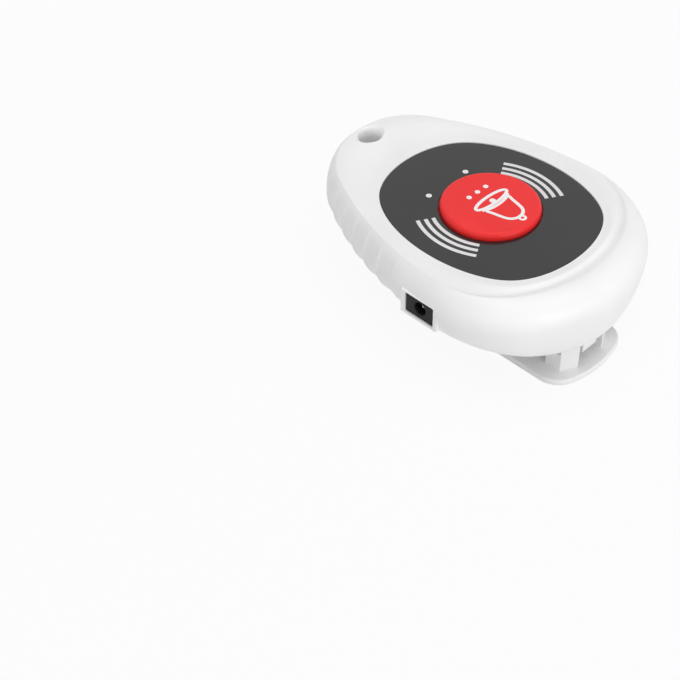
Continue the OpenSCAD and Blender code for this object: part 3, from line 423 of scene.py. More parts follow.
def piece(name, body, slot, finish, mesh, *replaced, sharp=30, weighted=True):
    """A finished piece: smooth faces, edges sharp past an angle, riding on its body if it has one."""
    obj = add_object(name, mesh)
    mesh.materials.clear()
    mesh.materials.append(finish)
    mesh.polygons.foreach_set("use_smooth", np.ones(len(mesh.polygons), bool))
    mesh.set_sharp_from_angle(angle=radians(sharp))
    if weighted:
        modifier = obj.modifiers.new("flats", "WEIGHTED_NORMAL")
        modifier.keep_sharp = True
    if body:
        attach(obj, body)
    if replaced:
        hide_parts(*replaced)
    return obj


class Value:
    """A socket of a shader that takes part in sums: each operator adds a Math node."""

    def __init__(self, finish, socket):
        self.finish = finish
        self.socket = socket

    def __add__(self, other):
        return self.finish.math("ADD", self, other)

    def __sub__(self, other):
        return self.finish.math("SUBTRACT", self, other)

    def __rsub__(self, other):
        return self.finish.math("SUBTRACT", other, self)

    def __mul__(self, other):
        return self.finish.math("MULTIPLY", self, other)

    __radd__ = __add__
    __rmul__ = __mul__


class Finish:
    """Nodes of a material or of the world, made one by one."""

    def __init__(self, owner):
        owner.use_nodes = True
        self.owner = owner
        self.tree = owner.node_tree
        self.nodes = self.tree.nodes

    def feed(self, socket, value):
        if isinstance(value, Value):
            self.tree.links.new(value.socket, socket)
        else:
            socket.default_value = value

    def node(self, kind, settings, inputs, output=0):
        """Adds a node: its settings first, then the values or links of its sockets."""
        made = self.nodes.new("ShaderNode" + kind)
        for key, value in settings.items():
            setattr(made, key, value)
        for key, value in inputs.items():
            self.feed(made.inputs[key], value)
        return Value(self, made.outputs[output])

    def math(self, operation, *values):
        return self.node("Math", {"operation": operation}, dict(enumerate(values)))

    def place(self):
        return self.node("TexCoord", {}, {}, "Object")

    def stretched(self, scale):
        return self.node("Mapping", {}, {"Vector": self.place(), "Scale": scale})

    def noise(self, scale, detail=2.0, place=None):
        """Noise between 0 and 1 whose lumps are about one over the scale, in metres."""
        inputs = {"Vector": place or self.place(), "Scale": scale, "Detail": detail}
        return self.node("TexNoise", {}, inputs, "Fac")

    def band(self, value, low, high):
        """0 below a band of values, 1 above it, smooth between."""
        inputs = {"Value": value, 1: low, 2: high}
        return self.node("MapRange", {"interpolation_type": "SMOOTHSTEP"}, inputs)

    def blend(self, share, first, second):
        """A colour between two colours."""
        return self.node("Mix", {"data_type": "RGBA"}, {0: share, 6: first, 7: second}, 2)

    def bump(self, height, strength, distance):
        return self.node("Bump", {}, {"Strength": strength, "Distance": distance, "Height": height})

    def coat(self, tint, rough, normal):
        """Feeds the shader of a material, which is then finished."""
        shader = self.nodes["Principled BSDF"]
        for key, value in {"Base Color": tint, "Roughness": rough, "Normal": normal}.items():
            self.feed(shader.inputs[key], value)
        return self.owner


def material(name, **settings):
    """The nodes of a new material, some sockets of its shader set to plain values."""
    finish = Finish(bpy.data.materials.new(name))
    for key, value in settings.items():
        finish.nodes["Principled BSDF"].inputs[key.replace("_", " ")].default_value = value
    return finish


def rgb(red, green, blue):
    return (red, green, blue, 1.0)


def plastic(name, dark, light, rough, uneven=0.1, grain=3000.0, depth=1e-5, gloss=0.5):
    """Moulded plastic: a colour that drifts a little, a roughness with faint flow marks and the fine
    spark grain of the mould as bump."""
    finish = material(name, Specular_IOR_Level=gloss)
    drift = finish.noise(45.0, 3.0)
    flow = finish.noise(260.0, 3.0, finish.stretched((1.0, 0.35, 1.0)))
    spark = finish.noise(grain, 2.0)
    tint = finish.blend(finish.band(drift, 0.3, 0.7), rgb(*dark), rgb(*light))
    marks = flow * uneven + spark * uneven + (rough - uneven)
    return finish.coat(tint, marks, finish.bump(spark, 0.5, depth))


def metal(name, dark, light, stretch, rough=0.3):
    """Plated or drawn metal: a drifting tint and fine lines along one way that vary its roughness."""
    finish = material(name, Metallic=1.0)
    lines = finish.noise(900.0, 3.0, finish.stretched(stretch))
    tint = finish.blend(finish.noise(120.0), rgb(*dark), rgb(*light))
    return finish.coat(tint, lines * 0.25 + (rough - 0.12), finish.bump(lines, 0.25, 1e-5))


WHITE = plastic("white_moulded", (0.86, 0.855, 0.855), (0.9, 0.896, 0.896), rough=0.42, grain=2600.0)
RED = plastic(
    "red_moulded", (0.865, 0.024, 0.025), (0.925, 0.031, 0.032),
    rough=0.4, grain=3200.0, depth=8e-6, gloss=0.3,
)
GREY = plastic(
    "grey_faceplate", (0.013, 0.013, 0.0135), (0.017, 0.017, 0.0175),
    rough=0.16, uneven=0.04, grain=4200.0, depth=1e-6,
)
PRINTED = {"rough": 0.5, "grain": 5000.0, "depth": 4e-6}
INK = plastic("pale_ink", (0.735, 0.735, 0.735), (0.79, 0.79, 0.79), **PRINTED)
BELL_INK = plastic("white_ink", (0.9, 0.895, 0.895), (0.94, 0.935, 0.935), **PRINTED)
BLACK = plastic("black_moulded", (0.005, 0.005, 0.005), (0.009, 0.009, 0.009), rough=0.5, gloss=0.2)
IVORY = plastic("ivory_moulded", (0.72, 0.68, 0.55), (0.79, 0.75, 0.63), rough=0.4)
CERAMIC = plastic(
    "fired_ceramic", (0.36, 0.25, 0.15), (0.5, 0.37, 0.24),
    rough=0.5, uneven=0.12, grain=5000.0,
)
TAPE = plastic("foam_tape", (0.7, 0.64, 0.43), (0.8, 0.74, 0.53), rough=0.8, grain=2200.0, depth=4e-5)
RED_LEAD = plastic("red_insulation", (0.5, 0.016, 0.016), (0.6, 0.024, 0.024), rough=0.45)
BLACK_LEAD = plastic("black_insulation", (0.016, 0.016, 0.016), (0.026, 0.026, 0.026), rough=0.45)
STEEL = metal("plated_steel", (0.55, 0.55, 0.56), (0.66, 0.66, 0.67), stretch=(1.0, 1.0, 0.05))
COPPER = metal("copper_wire", (0.7, 0.33, 0.17), (0.8, 0.42, 0.23), stretch=(0.1, 1.0, 1.0))


def cell_foil():
    """Laminated foil: soft creases from stretched noise over a pale metal, with painted shade in their
    hollows.
    """
    finish = material("cell_foil", Metallic=1.0)
    crease = finish.noise(180.0, 4.0, finish.stretched((1.0, 0.4, 1.0)))
    # Painted shade: the tint follows the creases' bump and is darker where they sink.
    tint = finish.blend(crease, rgb(0.56, 0.57, 0.59), rgb(0.7, 0.71, 0.73))
    return finish.coat(tint, crease * 0.3 + 0.2, finish.bump(crease, 0.5, 1e-4))


def solder_mask():
    """Green solder mask: pale tracks along the edges of cells, over a fine woven ground."""
    finish = material("solder_mask")
    inputs = {"Vector": finish.place(), "Scale": 240.0}
    cells = finish.node("TexVoronoi", {"feature": "DISTANCE_TO_EDGE", "distance": "MANHATTAN"}, inputs)
    track = 1 - finish.band(cells, 0.03, 0.06)
    ground = finish.blend(finish.noise(1500.0), rgb(0.014, 0.11, 0.04), rgb(0.022, 0.15, 0.055))
    tint = finish.blend(track, ground, rgb(0.05, 0.26, 0.09))
    weave = track * 0.08 + finish.noise(700.0) * 0.1 + 0.25
    return finish.coat(tint, weave, finish.bump(track, 0.3, 3e-5))


def light_window():
    """Clear moulded plastic over an unlit light: pale at its rim, with painted shade at its middle."""
    finish = material("light_window")
    parts = finish.node("SeparateXYZ", {}, {0: finish.place()})
    across = finish.math("ABSOLUTE", Value(finish, parts.socket.node.outputs["X"]))
    beside = across - float(LIGHTS[0, 0] * MM)
    behind = Value(finish, parts.socket.node.outputs["Y"]) - float(LIGHTS[0, 1] * MM)
    off = finish.math("SQRT", beside * beside + behind * behind)
    rim = finish.band(off, 0.00025, 0.0006)
    haze = finish.noise(2500.0)
    # Painted shade: the middle is greyer, standing in for the dark inside seen through the clear pipe.
    tint = finish.blend(rim, rgb(0.82, 0.82, 0.82), rgb(0.94, 0.94, 0.94))
    return finish.coat(tint, haze * 0.15 + 0.2, finish.bump(haze, 0.2, 5e-6))


FOIL = cell_foil()
MASK = solder_mask()
WINDOW = light_window()


def rings_of(*parts):
    """Rings of several stretches of a surface, one after another."""
    return concatenate([part.reshape(-1, *part.shape[-2:]) for part in parts])


def cover_outside():
    """Outer rings of the front cover, from its underside to the margin round the faceplate. The wall is
    a full curve below the widest line and an ellipse above it, and the grips fade to its ends. From the
    rim the surface dips into a groove at the fat end, and a smooth step joins its foot to the margin."""
    low = linspace(pi / 2, 0, 18)[:, None]
    high = linspace(0, 1, 18)[1:, None]
    fade_low = 1 - smooth_step((low - radians(15)) / radians(55))
    fade_high = 1 - smooth_step((high - 0.13) / 0.87)
    out = cos(low) ** (2 / BASE_FULLNESS)
    down = sin(low) ** (2 / BASE_FULLNESS)
    wall = case_edge(BASE_INSET * (1 - out) + fade_low * SCALLOP)
    lower = at_level(wall, WIDEST - (WIDEST - UNDERSIDE) * down)
    angle = high * RIM_TURN
    upward = sin(angle) / sin(RIM_TURN)
    wall = case_edge(rim_curve(angle) + fade_high * SCALLOP)
    upper = at_level(wall, mix(WIDEST, RIM, upward))
    rim = case_edge(RIM_INSET)
    margin = plate_edge(MARGIN_WIDTH)
    sink = linspace(0, 1, 13)[1:, None]
    flat_share = mix(1.0, FOOT, sink)
    flat = at_level(mix(margin, rim, flat_share[..., None]), RIM - GROOVE * smooth_step(sink))
    share = linspace(1, 0, 24)[1:, None]
    height = mix(MARGIN, RIM - GROOVE, smooth_step(share))
    step = at_level(mix(margin, rim, (share * FOOT)[..., None]), height)
    return sunk_at_tip(rings_of(lower, upper, flat, step))


# The sink outside the lanyard hole
SINK_DEPTH = 0.4
SINK_FROM = 36.5
SINK_LENGTH = 5.0
SINK_WIDTH = 5.0


def sunk_at_tip(points):
    """Lowers the top of the case outside the lanyard hole: by a smooth step along the case, a bell curve
    across it and the share of the height above the widest line."""
    across, along, height = np.moveaxis(points, -1, 0)
    depth = smooth_step((along - SINK_FROM) / SINK_LENGTH) * np.exp(-((across / SINK_WIDTH) ** 2))
    height = height - SINK_DEPTH * depth * smooth_step((height - WIDEST) / (FACE - WIDEST))
    return stack([across, along, height], -1)


def tip_surface(points):
    """Points of the case's top near the tip over flat points: the ramp from the margin, the rounding of
    the rim and the sink outside the lanyard hole."""
    ramp = mix(MARGIN, RIM[0], smooth_step((points[..., 1] - RAMP_FROM) / RAMP_LENGTH))
    inset = TIP_RADIUS - np.linalg.norm(points - TIP_CENTRE, axis=-1)
    part = np.clip(inset / RIM_INSET[0], 0, 1) * (1 - cos(RIM_TURN[0]))
    rounded = mix(WIDEST, RIM[0], sin(np.arccos(1 - part)) / sin(RIM_TURN[0]))
    level = np.where(inset < RIM_INSET[0], rounded, ramp)
    return sunk_at_tip(at_level(points, level))


# The recess of the faceplate, the rebate of the rear cover and the ledge above it
RECESS_GAP = 0.1
RECESS_ROUND = 0.18
HOLE_BEVEL = 0.15
LEDGE_WIDTH = 1.5
LID_GAP = 0.15


def cover_inside():
    """Inner rings of the front cover: the margin that dips in a smooth step to the rounded edge of the
    faceplate's recess, the recess, the call key's hole, the ceiling, the hollow inside the wall, and the
    ledge and rebate of the rear cover."""
    lip = FACE + mix(0.22, 0.34, smooth_step((cos(TURN) + 0.6) / 0.8))
    dip = linspace(0, 1, 14)[1:]
    turn = linspace(0, pi / 2, 6)
    brink = RECESS_GAP + RECESS_ROUND
    grows = concatenate([mix(MARGIN_WIDTH, 0.4, dip), brink - RECESS_ROUND * sin(turn)])
    levels = [mix(MARGIN, lip, share) for share in smooth_step(dip)]
    levels += [lip - RECESS_ROUND * (1 - cos(part)) for part in turn]
    edge = stacked(plate_edge, grows, levels)
    corner = plate_edge(RECESS_GAP)
    foot = at_level(corner, RECESS)[None]
    share = array([0.06, 0.35, 0.65, 0.94, 1.0])[:, None, None]
    recess = at_level(mix(corner, key_circle(KEY_HOLE + HOLE_BEVEL), share), RECESS)
    key_wall = stacked(key_circle, [KEY_HOLE, KEY_HOLE], [RECESS - HOLE_BEVEL, CEILING])
    ceiling = case_edge(wall_inset(CEILING) + WALL + 1.5)
    ceiling = at_level(mix(key_circle(KEY_HOLE), ceiling, share), CEILING)
    hollow = hollow_rings(linspace(CEILING - 1.5, FLOOR, 14), WALL)
    insets = LID_INSET - array([-LEDGE_WIDTH, -LEDGE_WIDTH, LID_GAP, LID_GAP, 2 * LID_GAP])[:, None]
    ledge = stacked(case_edge, insets, [FLOOR, LID_TOP, LID_TOP, UNDERSIDE + 0.15, UNDERSIDE])
    return rings_of(edge, foot, recess, key_wall, ceiling, hollow, ledge)


def hollow_rings(levels, depth):
    """Rings that follow the inside of the wall, at a depth under its outside."""
    return stacked(case_edge, [wall_inset(level) + depth for level in levels], levels)


def both_ways(places):
    """Places on the right, then the same places on the left."""
    places = array(places, float)
    return concatenate([places, places * [-1, 1]])


CASE_SCREWS = both_ways([(7.36, 22.93), (19.21, -24.09)])
BOARD_SCREWS = both_ways([(13.47, 8.09), (11.85, -31.88)])

# The jack and its frame in the left wall
FRAME_OUT = -34.1
FRAME_IN = -28.1
FRAME_HALF = 5.95
FRAME_BEVEL = 1.0
JACK_HALF = array([4.5, 2.9])
JACK_GAP = 0.15
JACK_FACE = -33.6
JACK_BACK = -21.5
SOCKET_END = -24.1


def jack_frame():
    """The frame round the jack: a block with bevelled sides and rounded edges that stands out of the
    wall, cut back inside so that it ends within the wall."""
    root = FRAME_HALF + FRAME_BEVEL
    sides = [
        (FRAME_OUT, JACK_Y - FRAME_HALF), (FRAME_IN, JACK_Y - root),
        (FRAME_IN, JACK_Y + root), (FRAME_OUT, JACK_Y + FRAME_HALF),
    ]
    block = make_mesh("jack_frame", slab(rounded_polygon(sides, 0.35), 18.15, 25.45, 0.25, 0.25))
    hollow = hollow_rings(linspace(FLOOR, CEILING - 1.5, 14), WALL - 0.5)
    block = carve(block, "DIFFERENCE", closed_surface(hollow))
    return surface_of(block)


def jack_outline(grow):
    """Outline of the jack's block across the case, made wider by a gap."""
    middle = array([JACK_Y, JACK_Z])
    return rectangle(middle - JACK_HALF - grow, middle + JACK_HALF + grow, 0.3)


def jack_window():
    """The opening for the jack, with a bevelled mouth."""
    levels = [-36.0, FRAME_OUT, FRAME_OUT + 0.2, JACK_BACK + 0.5]
    return loft(jack_outline(JACK_GAP), [-0.2, -0.2, 0.0, 0.0], levels, ALONG_X)


LANYARD_RADIUS = 3.0
LANYARD_TUBE = 5.0
LOWER_MOUTH = 1.3


def lanyard_bore():
    """The lanyard hole: a straight bore whose two mouths open in parts of ellipses. The upper mouth
    follows the surface that it opens on. It is small and crisp towards the faceplate, an oval across the
    case, and wide, deep and soft towards the tip."""
    turn = linspace(0, radians(78), 10)[:, None]
    bearing = linspace(0, 2 * pi, 96, endpoint=False)
    outward = heading(bearing)
    low_reach = LANYARD_RADIUS + LOWER_MOUTH * (1 - cos(turn[::-1])) + 0 * bearing
    low_level = UNDERSIDE + LOWER_MOUTH * (1 - sin(turn[::-1])) + 0 * bearing
    sideways = sin(bearing) ** 4
    tipward = smooth_step((cos(bearing) + 0.2) / 1.2)
    reach = 0.2 + 1.2 * sideways + 0.5 * tipward
    depth = 0.5 + 2.0 * sideways + 2.5 * tipward
    last = mix(radians(50), radians(82), tipward)
    part = linspace(0, 1, 12)[:, None] * last
    top = tip_surface(LANYARD + (LANYARD_RADIUS + reach)[:, None] * outward)[..., 2]
    high_reach = LANYARD_RADIUS + reach * (1 - cos(part)) / (1 - cos(last))
    high_level = top - depth * (1 - sin(part) / sin(last))
    radius = concatenate([low_reach[:1] + 0.9, low_reach, high_reach, high_reach[-1:] + 0.9])
    level = concatenate([low_level[:1] - 0.45, low_level, high_level, high_level[-1:] + 0.7])
    return closed_surface(at_level(LANYARD + radius[..., None] * outward, level))


def rods(radius, low, high, places):
    """Upright round rods at several places."""
    return [lathe([(radius, low), (radius, high)], place) for place in places]


POST_RADIUS = 2.75
SHANK_RADIUS = 1.0
GUIDE_X = 2.1
GUIDE_FOOT = 26.9


def front_cover():
    """The front cover: the shell with the screw posts, the lanyard's tube, the guides for the call key's
    tab and the jack's frame, and its holes."""
    rings = rings_of(cover_outside(), cover_inside())
    shell = make_mesh("front_cover", closed_surface(rings, wrap=True))
    within = CEILING + 0.8
    posts = rods(POST_RADIUS, LID_TOP, within, CASE_SCREWS)
    posts += rods(POST_RADIUS, BOARD, within, BOARD_SCREWS)
    pipe = [(3.4, FLOOR - 1.0), (LANYARD_TUBE, FLOOR + 2.2), (LANYARD_TUBE, FACE)]
    posts += [lathe(pipe, LANYARD, stations=96)]
    for side in (-1, 1):
        guide = rectangle((side * GUIDE_X - 0.6, -20.35), (side * GUIDE_X + 0.6, -18.95), 0.15)
        posts += [slab(guide, GUIDE_FOOT, within, 0.15, 0.0)]
    shell = carve(shell, "UNION", jack_frame(), *posts)
    holes = rods(SHANK_RADIUS, LID_TOP - 1, LID_TOP + 8, CASE_SCREWS)
    holes += rods(SHANK_RADIUS, BOARD - 1, BOARD + 5, BOARD_SCREWS)
    holes += rods(1.0, CEILING - 1, RECESS + 0.5, LIGHTS)
    return carve(shell, "DIFFERENCE", jack_window(), lanyard_bore(), *holes)


def face_layer(grow, low, high, edge):
    """A layer of the faceplate: a ring from its outline to the call key's hole, with rounded edges."""
    turn = linspace(0, pi / 2, 5)
    falls = edge * (1 - cos(turn))
    rises = edge * (1 - sin(turn))
    outer = stacked(plate_edge, grow - falls, high - rises)
    inner = stacked(key_circle, KEY_HOLE + rises, high - falls)
    share = array([0.03, 0.5, 0.97])[:, None, None]
    top = at_level(mix(plate_edge(grow - edge), key_circle(KEY_HOLE + edge), share), high)
    share = array([0.0, 0.5, 1.0])[:, None, None]
    under = at_level(mix(key_circle(KEY_HOLE), plate_edge(grow), share), low)
    return closed_surface(rings_of(outer, top, inner, under), wrap=True)


def drilled(name, layer, radius):
    """A layer of the faceplate with holes for the two lights."""
    holes = rods(radius, RECESS - 0.8, FACE + 0.5, LIGHTS)
    return carve(make_mesh(name, layer), "DIFFERENCE", *holes)


# Ink lies a little under and a little over the face that it is printed on
INK_UNDER = 0.03
INK_OVER = 0.02


def plate_print():
    """Sound waves on the faceplate: three arcs about the call key on each side."""
    sweep = radians(linspace(-30.5, 30.5, 49))
    arcs = []
    for side in (-1, 1):
        for radius in (15.2, 17.2, 19.3):
            path = KEY + radius * stack([side * cos(sweep), sin(sweep)], -1)
            arcs.append(stroke(path, 1.02, FACE - INK_UNDER, FACE + INK_OVER))
    return make_mesh("plate_print", *arcs)


def call_button():
    """The call key: a turned cap with a rounded top edge and a wall with a little draft, a hollow
    underside, a flange and a post, and the tab that stops it from turning."""
    turn = linspace(0, radians(88), 12)
    edge = stack([KEY_RADIUS - 1.0 + sin(turn), KEY_TOP - 1.5 + 1.5 * cos(turn)], -1)
    profile = concatenate([
        [(2.0, KEY_TOP), (10.5, KEY_TOP)],
        edge,
        [(12.9, 30.2), (12.85, 28.2), (14.55, 28.2), (14.65, 28.1), (14.65, 27.0), (14.55, 26.9)],
        [(11.2, 26.9), (11.2, 30.5), (11.1, 30.6)],
        [(2.6, 30.6), (2.5, 30.5), (2.5, 25.75), (2.3, 25.55)],
    ])
    cap = make_mesh("call_button", lathe(profile, KEY, stations=160))
    tab = rectangle((-1.2, KEY[1] - 16.05), (1.2, KEY[1] - 13.0), 0.2)
    return carve(cap, "UNION", slab(tab, 26.95, 28.15, 0.1, 0.1))


def bell_print():
    """A plain bell: its mouth as an oval with a lip behind it and a clapper in it, two curved sides that
    close over the crown, and a ring on top. Three dots stand beside its mouth."""
    low = KEY_TOP - INK_UNDER
    high = KEY_TOP + INK_OVER
    middle = KEY + array([0.8, 0.0])
    turn = linspace(0, 2 * pi, 96, endpoint=False)
    circle = stack([cos(turn), sin(turn)], -1)
    half = linspace(radians(196), radians(344), 41)
    lip = stack([5.1 * cos(half), -0.2 + 1.75 * sin(half)], -1)
    side = [(-4.35, -1.55), (-3.85, -3.3), (-3.45, -5.2), (-2.95, -7.0), (-2.2, -8.1)]
    side += [(-1.1, -8.75), (0.0, -8.9)]
    right = [(-x, y) for x, y in side[-2::-1]]
    lines = [
        stroke(middle + [0, 0.55] + circle * [5.75, 1.5], 0.88, low, high, loop=True),
        stroke(middle + lip, 0.8, low, high),
        stroke(middle + smooth_path(side + right, 8), 0.88, low, high),
        stroke(middle + [0, -9.75] + circle * 0.78, 0.68, low, high, loop=True),
    ]
    lines += rods(0.85, low, high, [middle + [0, 0.1]])
    lines += rods(0.7, low, high, [middle + [x, 5.2] for x in (-3.2, 0.0, 3.2)])
    mesh = make_mesh("bell_print", lines[0])
    for line in lines[1:]:
        mesh = carve(mesh, "UNION", line)
    return mesh


def light_pipes():
    """Two stepped clear pipes from the lights up to the faceplate."""
    profile = [(0.95, 22.1), (0.95, 27.3), (1.3, 27.3), (1.3, 28.3), (0.95, 28.3), (0.95, 29.8)]
    profile += [(0.82, 29.8), (0.82, 30.38), (0.78, 30.46), (0.68, 30.5)]
    return make_mesh("light_pipes", *[lathe(profile, place, stations=40) for place in LIGHTS])


def jack_body():
    """The jack's block with a round socket, turned about its middle, cut into its face."""
    block = slab(jack_outline(0.0), JACK_FACE, JACK_BACK, 0.15, 0.15, ALONG_X)
    body = make_mesh("jack_body", block)
    socket = [(2.3, -34.0), (2.05, JACK_FACE), (1.8, JACK_FACE + 0.25), (1.8, SOCKET_END)]
    return carve(body, "DIFFERENCE", lathe(socket, (JACK_Y, JACK_Z), ALONG_X))


def jack_pin():
    """The pin in the socket: a rod whose tip is part of an ellipse."""
    radius = 0.65
    turn = linspace(0.15, pi / 2, 7)
    tip = stack([radius * sin(turn), -32.4 + 0.5 * (1 - cos(turn))], -1)
    profile = concatenate([tip, [(radius, SOCKET_END)]])
    return make_mesh("jack_pin", lathe(profile, (JACK_Y, JACK_Z), ALONG_X, 32))


def rear_cover():
    """The rear cover: a lid that follows the case, the clip's seat, the hinge knuckle and the battery's
    two tray walls, with stepped screw holes and the hinge bore."""
    lid = slab(lambda inset: case_edge(LID_INSET + inset), UNDERSIDE, LID_TOP, 0.25, 0.2)
    seat = slab(rectangle((-12.0, -30.0), (12.0, 13.0), 2.0), 9.3, UNDERSIDE + 0.6, 0.4, 0.0)
    block = rectangle((HINGE_Y - 3.1, HINGE_Z - 3.1), (HINGE_Y + 3.1, UNDERSIDE + 0.6), 0.7)
    knuckle = slab(block, -2.75, 2.75, 0.3, 0.3, ALONG_X)
    walls = []
    for side in (-1, 1):
        wall = rectangle((side * 10.8 - 0.5, -15.25), (side * 10.8 + 0.5, 1.25), 0.2)
        walls.append(slab(wall, LID_TOP - 0.6, LID_TOP + 3.0, 0.0, 0.2))
    cover = carve(make_mesh("rear_cover", lid), "UNION", seat, knuckle, *walls)
    step = [(2.35, 11.0), (2.35, UNDERSIDE), (2.2, UNDERSIDE + 0.15)]
    step += [(2.2, 12.8), (1.2, 12.8), (1.2, 15.0)]
    bore = lathe([(1.05, -4.0), (1.05, 4.0)], HINGE, ALONG_X)
    return carve(cover, "DIFFERENCE", bore, *[lathe(step, place) for place in CASE_SCREWS])


# The belt clip laid flat, and the jaw that is bent up at its lip
CLIP_THICK = 1.8
CLIP_HALF = 14.0
CLIP_EDGE = 0.5
JAW_Y = 7.0
JAW_RUN = 10.5
JAW_REACH = 6.0
JAW_RISE = 9.0
LIP = JAW_Y + JAW_RUN
LIP_ROUND = 4.5
LIP_CORNER = array([CLIP_HALF - LIP_ROUND, LIP - LIP_ROUND])
THUMB = -42.7
THUMB_ROUND = 7.0
THUMB_X = CLIP_HALF - THUMB_ROUND
BOW_TURN = radians(17.5)
BOW_RADIUS = THUMB_ROUND + THUMB_X / sin(BOW_TURN)
THUMB_Y = THUMB + BOW_RADIUS * (1 - cos(BOW_TURN)) + THUMB_ROUND * cos(BOW_TURN)
EAR_RADIUS = 3.6
PIN_RADIUS = 1.0


def clip_outline(inset):
    """Outline of the clip laid flat: a straight lip, straight sides and a bowed thumb end, all joined by
    round corners that run into them."""
    lip = stack([linspace(0, LIP_CORNER[0], 10, endpoint=False), np.full(10, LIP - inset)], -1)
    corner = LIP_CORNER + (LIP_ROUND - inset) * heading(linspace(0, pi / 2, 12))
    jaw = linspace(LIP_CORNER[1], JAW_Y, 16)[1:]
    plate = linspace(JAW_Y, THUMB_Y, 40)[1:]
    run = concatenate([jaw, plate])
    side = stack([np.full(len(run), CLIP_HALF - inset), run], -1)
    turn = linspace(pi / 2, pi - BOW_TURN, 14)[1:]
    thumb = array([THUMB_X, THUMB_Y]) + (THUMB_ROUND - inset) * heading(turn)
    turn = linspace(pi - BOW_TURN, pi, 10)[1:]
    bow = array([0.0, THUMB + BOW_RADIUS]) + (BOW_RADIUS - inset) * heading(turn)
    half = concatenate([lip, corner, side, thumb, bow])
    return concatenate([half, half[-2:0:-1] * [-1, 1]])


def clip_bend(points):
    """Bends the flat clip: beyond the jaw's start the sheet follows two quarter ellipses, the inner one
    the sheet's thickness smaller each way than the outer one."""
    across, along, height = np.moveaxis(points, -1, 0)
    turn = np.clip((along - JAW_Y) / JAW_RUN, 0, 1) * pi / 2
    share = height / CLIP_THICK
    reach = mix(JAW_REACH, JAW_REACH - CLIP_THICK, share)
    along = np.minimum(along, JAW_Y) + reach * sin(turn)
    rise = 1 - cos(turn)
    height = mix(JAW_RISE * rise, CLIP_THICK + (JAW_RISE - CLIP_THICK) * rise, share)
    return stack([across, along, height], -1)


def clip_sheet():
    """The clip's sheet: both faces run from a line along its middle out to the outline, and its edge is
    rounded."""
    side = stacked(clip_outline, *rounded_edges(0.0, CLIP_THICK, CLIP_EDGE, CLIP_EDGE, 6))
    drawn = clip_outline(CLIP_EDGE)
    spine = stack([np.zeros(len(drawn)), np.clip(drawn[:, 1], THUMB_Y, LIP_CORNER[1])], -1)
    share = linspace(0, 1, 9)[:, None, None]
    under = at_level(mix(spine, drawn, share[:-1]), 0.0)
    over = at_level(mix(drawn, spine, share[1:]), CLIP_THICK)
    return closed_surface(clip_bend(rings_of(under, side, over)), caps=False)


def clip_ear(side):
    """An ear of the clip: a block with a round top about the hinge, whose front face slants outwards."""
    turn = linspace(0, pi, 25)

    def profile(inset):
        reach = EAR_RADIUS - inset
        drawn = stack([HINGE_Y + reach * cos(turn), HINGE_Z + reach * sin(turn)], -1)
        return concatenate([drawn, [(HINGE_Y - reach, 0.7), (HINGE_Y + reach, 0.7)]])

    ear = make_mesh("ear", slab(profile, 4.7, 9.3, 0.3, 0.3, ALONG_X))
    plan = rounded_polygon([(4.3, -39.81), (9.3, -37.2), (9.8, -30.0), (4.3, -30.0)], 0.3)
    ear = carve(ear, "INTERSECT", loft(plan, [0.0, 0.0], [0.0, 14.0]))
    points, faces = surface_of(ear)
    return points * [side, 1, 1], faces


def belt_clip():
    """The belt clip: the bent sheet and its two ears, bored for the hinge pin."""
    clip = carve(make_mesh("belt_clip", clip_sheet()), "UNION", clip_ear(-1), clip_ear(1))
    holes = []
    for side in (-1, 1):
        profile = [(PIN_RADIUS, side * 4.0), (PIN_RADIUS, side * 10.0)]
        holes.append(lathe(profile, HINGE, ALONG_X, 48))
    return carve(clip, "DIFFERENCE", *holes)


def hinge_pin():
    """The hinge pin: a turned rod with bevelled ends."""
    profile = [(0.8, -9.1), (PIN_RADIUS, -8.9), (PIN_RADIUS, 8.9), (0.8, 9.1)]
    return make_mesh("hinge_pin", lathe(profile, HINGE, ALONG_X, 48))


def screws(name, places, low, length):
    """Pan-head screws, heads down: a turned head with a rounded edge and a shank with a blunt point, and
    a cross cut into each head."""
    neck = low + 1
    tip = low + length
    turn = linspace(0, pi / 2, 6)
    rim = stack([1.4 + 0.5 * sin(turn), low + 0.5 * (1 - cos(turn))], -1)
    shank = [(1.9, neck), (SHANK_RADIUS, neck), (SHANK_RADIUS, tip - 0.5), (0.6, tip)]
    profile = concatenate([rim, shank])
    mesh = make_mesh(name, *[lathe(profile, place, stations=48) for place in places])
    for half in ((1.1, 0.3), (0.3, 1.1)):
        bars = [rectangle(place - half, place + half, 0.1) for place in places]
        slots = [loft(bar, [0, 0], [low - 1, low + 0.5]) for bar in bars]
        mesh = carve(mesh, "DIFFERENCE", *slots)
    return mesh


SPRING_FLOOR = 21.05
SPRING_HEIGHT = 9.5
SPRING_WIRE = 0.25
SPRING_RADIUS = 5.043
SPRING_TURNS = 5


def button_spring():
    """A coil spring between the board and the underside of the call key."""
    whole = 2 * SPRING_TURNS * pi
    turn = linspace(0, whole, SPRING_TURNS * 48 + 1)
    top = SPRING_FLOOR + SPRING_HEIGHT
    level = mix(SPRING_FLOOR + SPRING_WIRE, top - SPRING_WIRE, turn / whole)
    path = at_level(KEY + SPRING_RADIUS * stack([cos(turn), sin(turn)], -1), level)
    return make_mesh("button_spring", tube(path, SPRING_WIRE, (0, 0, 1), 12))


DOME_FLOOR = 22.3
DOME_RISE = 1.3
DOME_RADIUS = 2.0


def snap_dome():
    """The switch's snap dome: a thin cap of a sphere that stands on the floor of the switch's well."""
    ball = (DOME_RADIUS**2 + DOME_RISE**2) / (2 * DOME_RISE)
    middle = DOME_FLOOR + DOME_RISE - ball
    inner = ball - 0.12
    over = linspace(0.02, np.arccos((DOME_FLOOR - middle) / ball), 14)
    under = linspace(np.arccos((DOME_FLOOR - middle) / inner), 0.02, 14)
    profile = concatenate([
        stack([ball * sin(over), middle + ball * cos(over)], -1),
        stack([inner * sin(under), middle + inner * cos(under)], -1),
    ])
    return make_mesh("snap_dome", lathe(profile, KEY, stations=64))


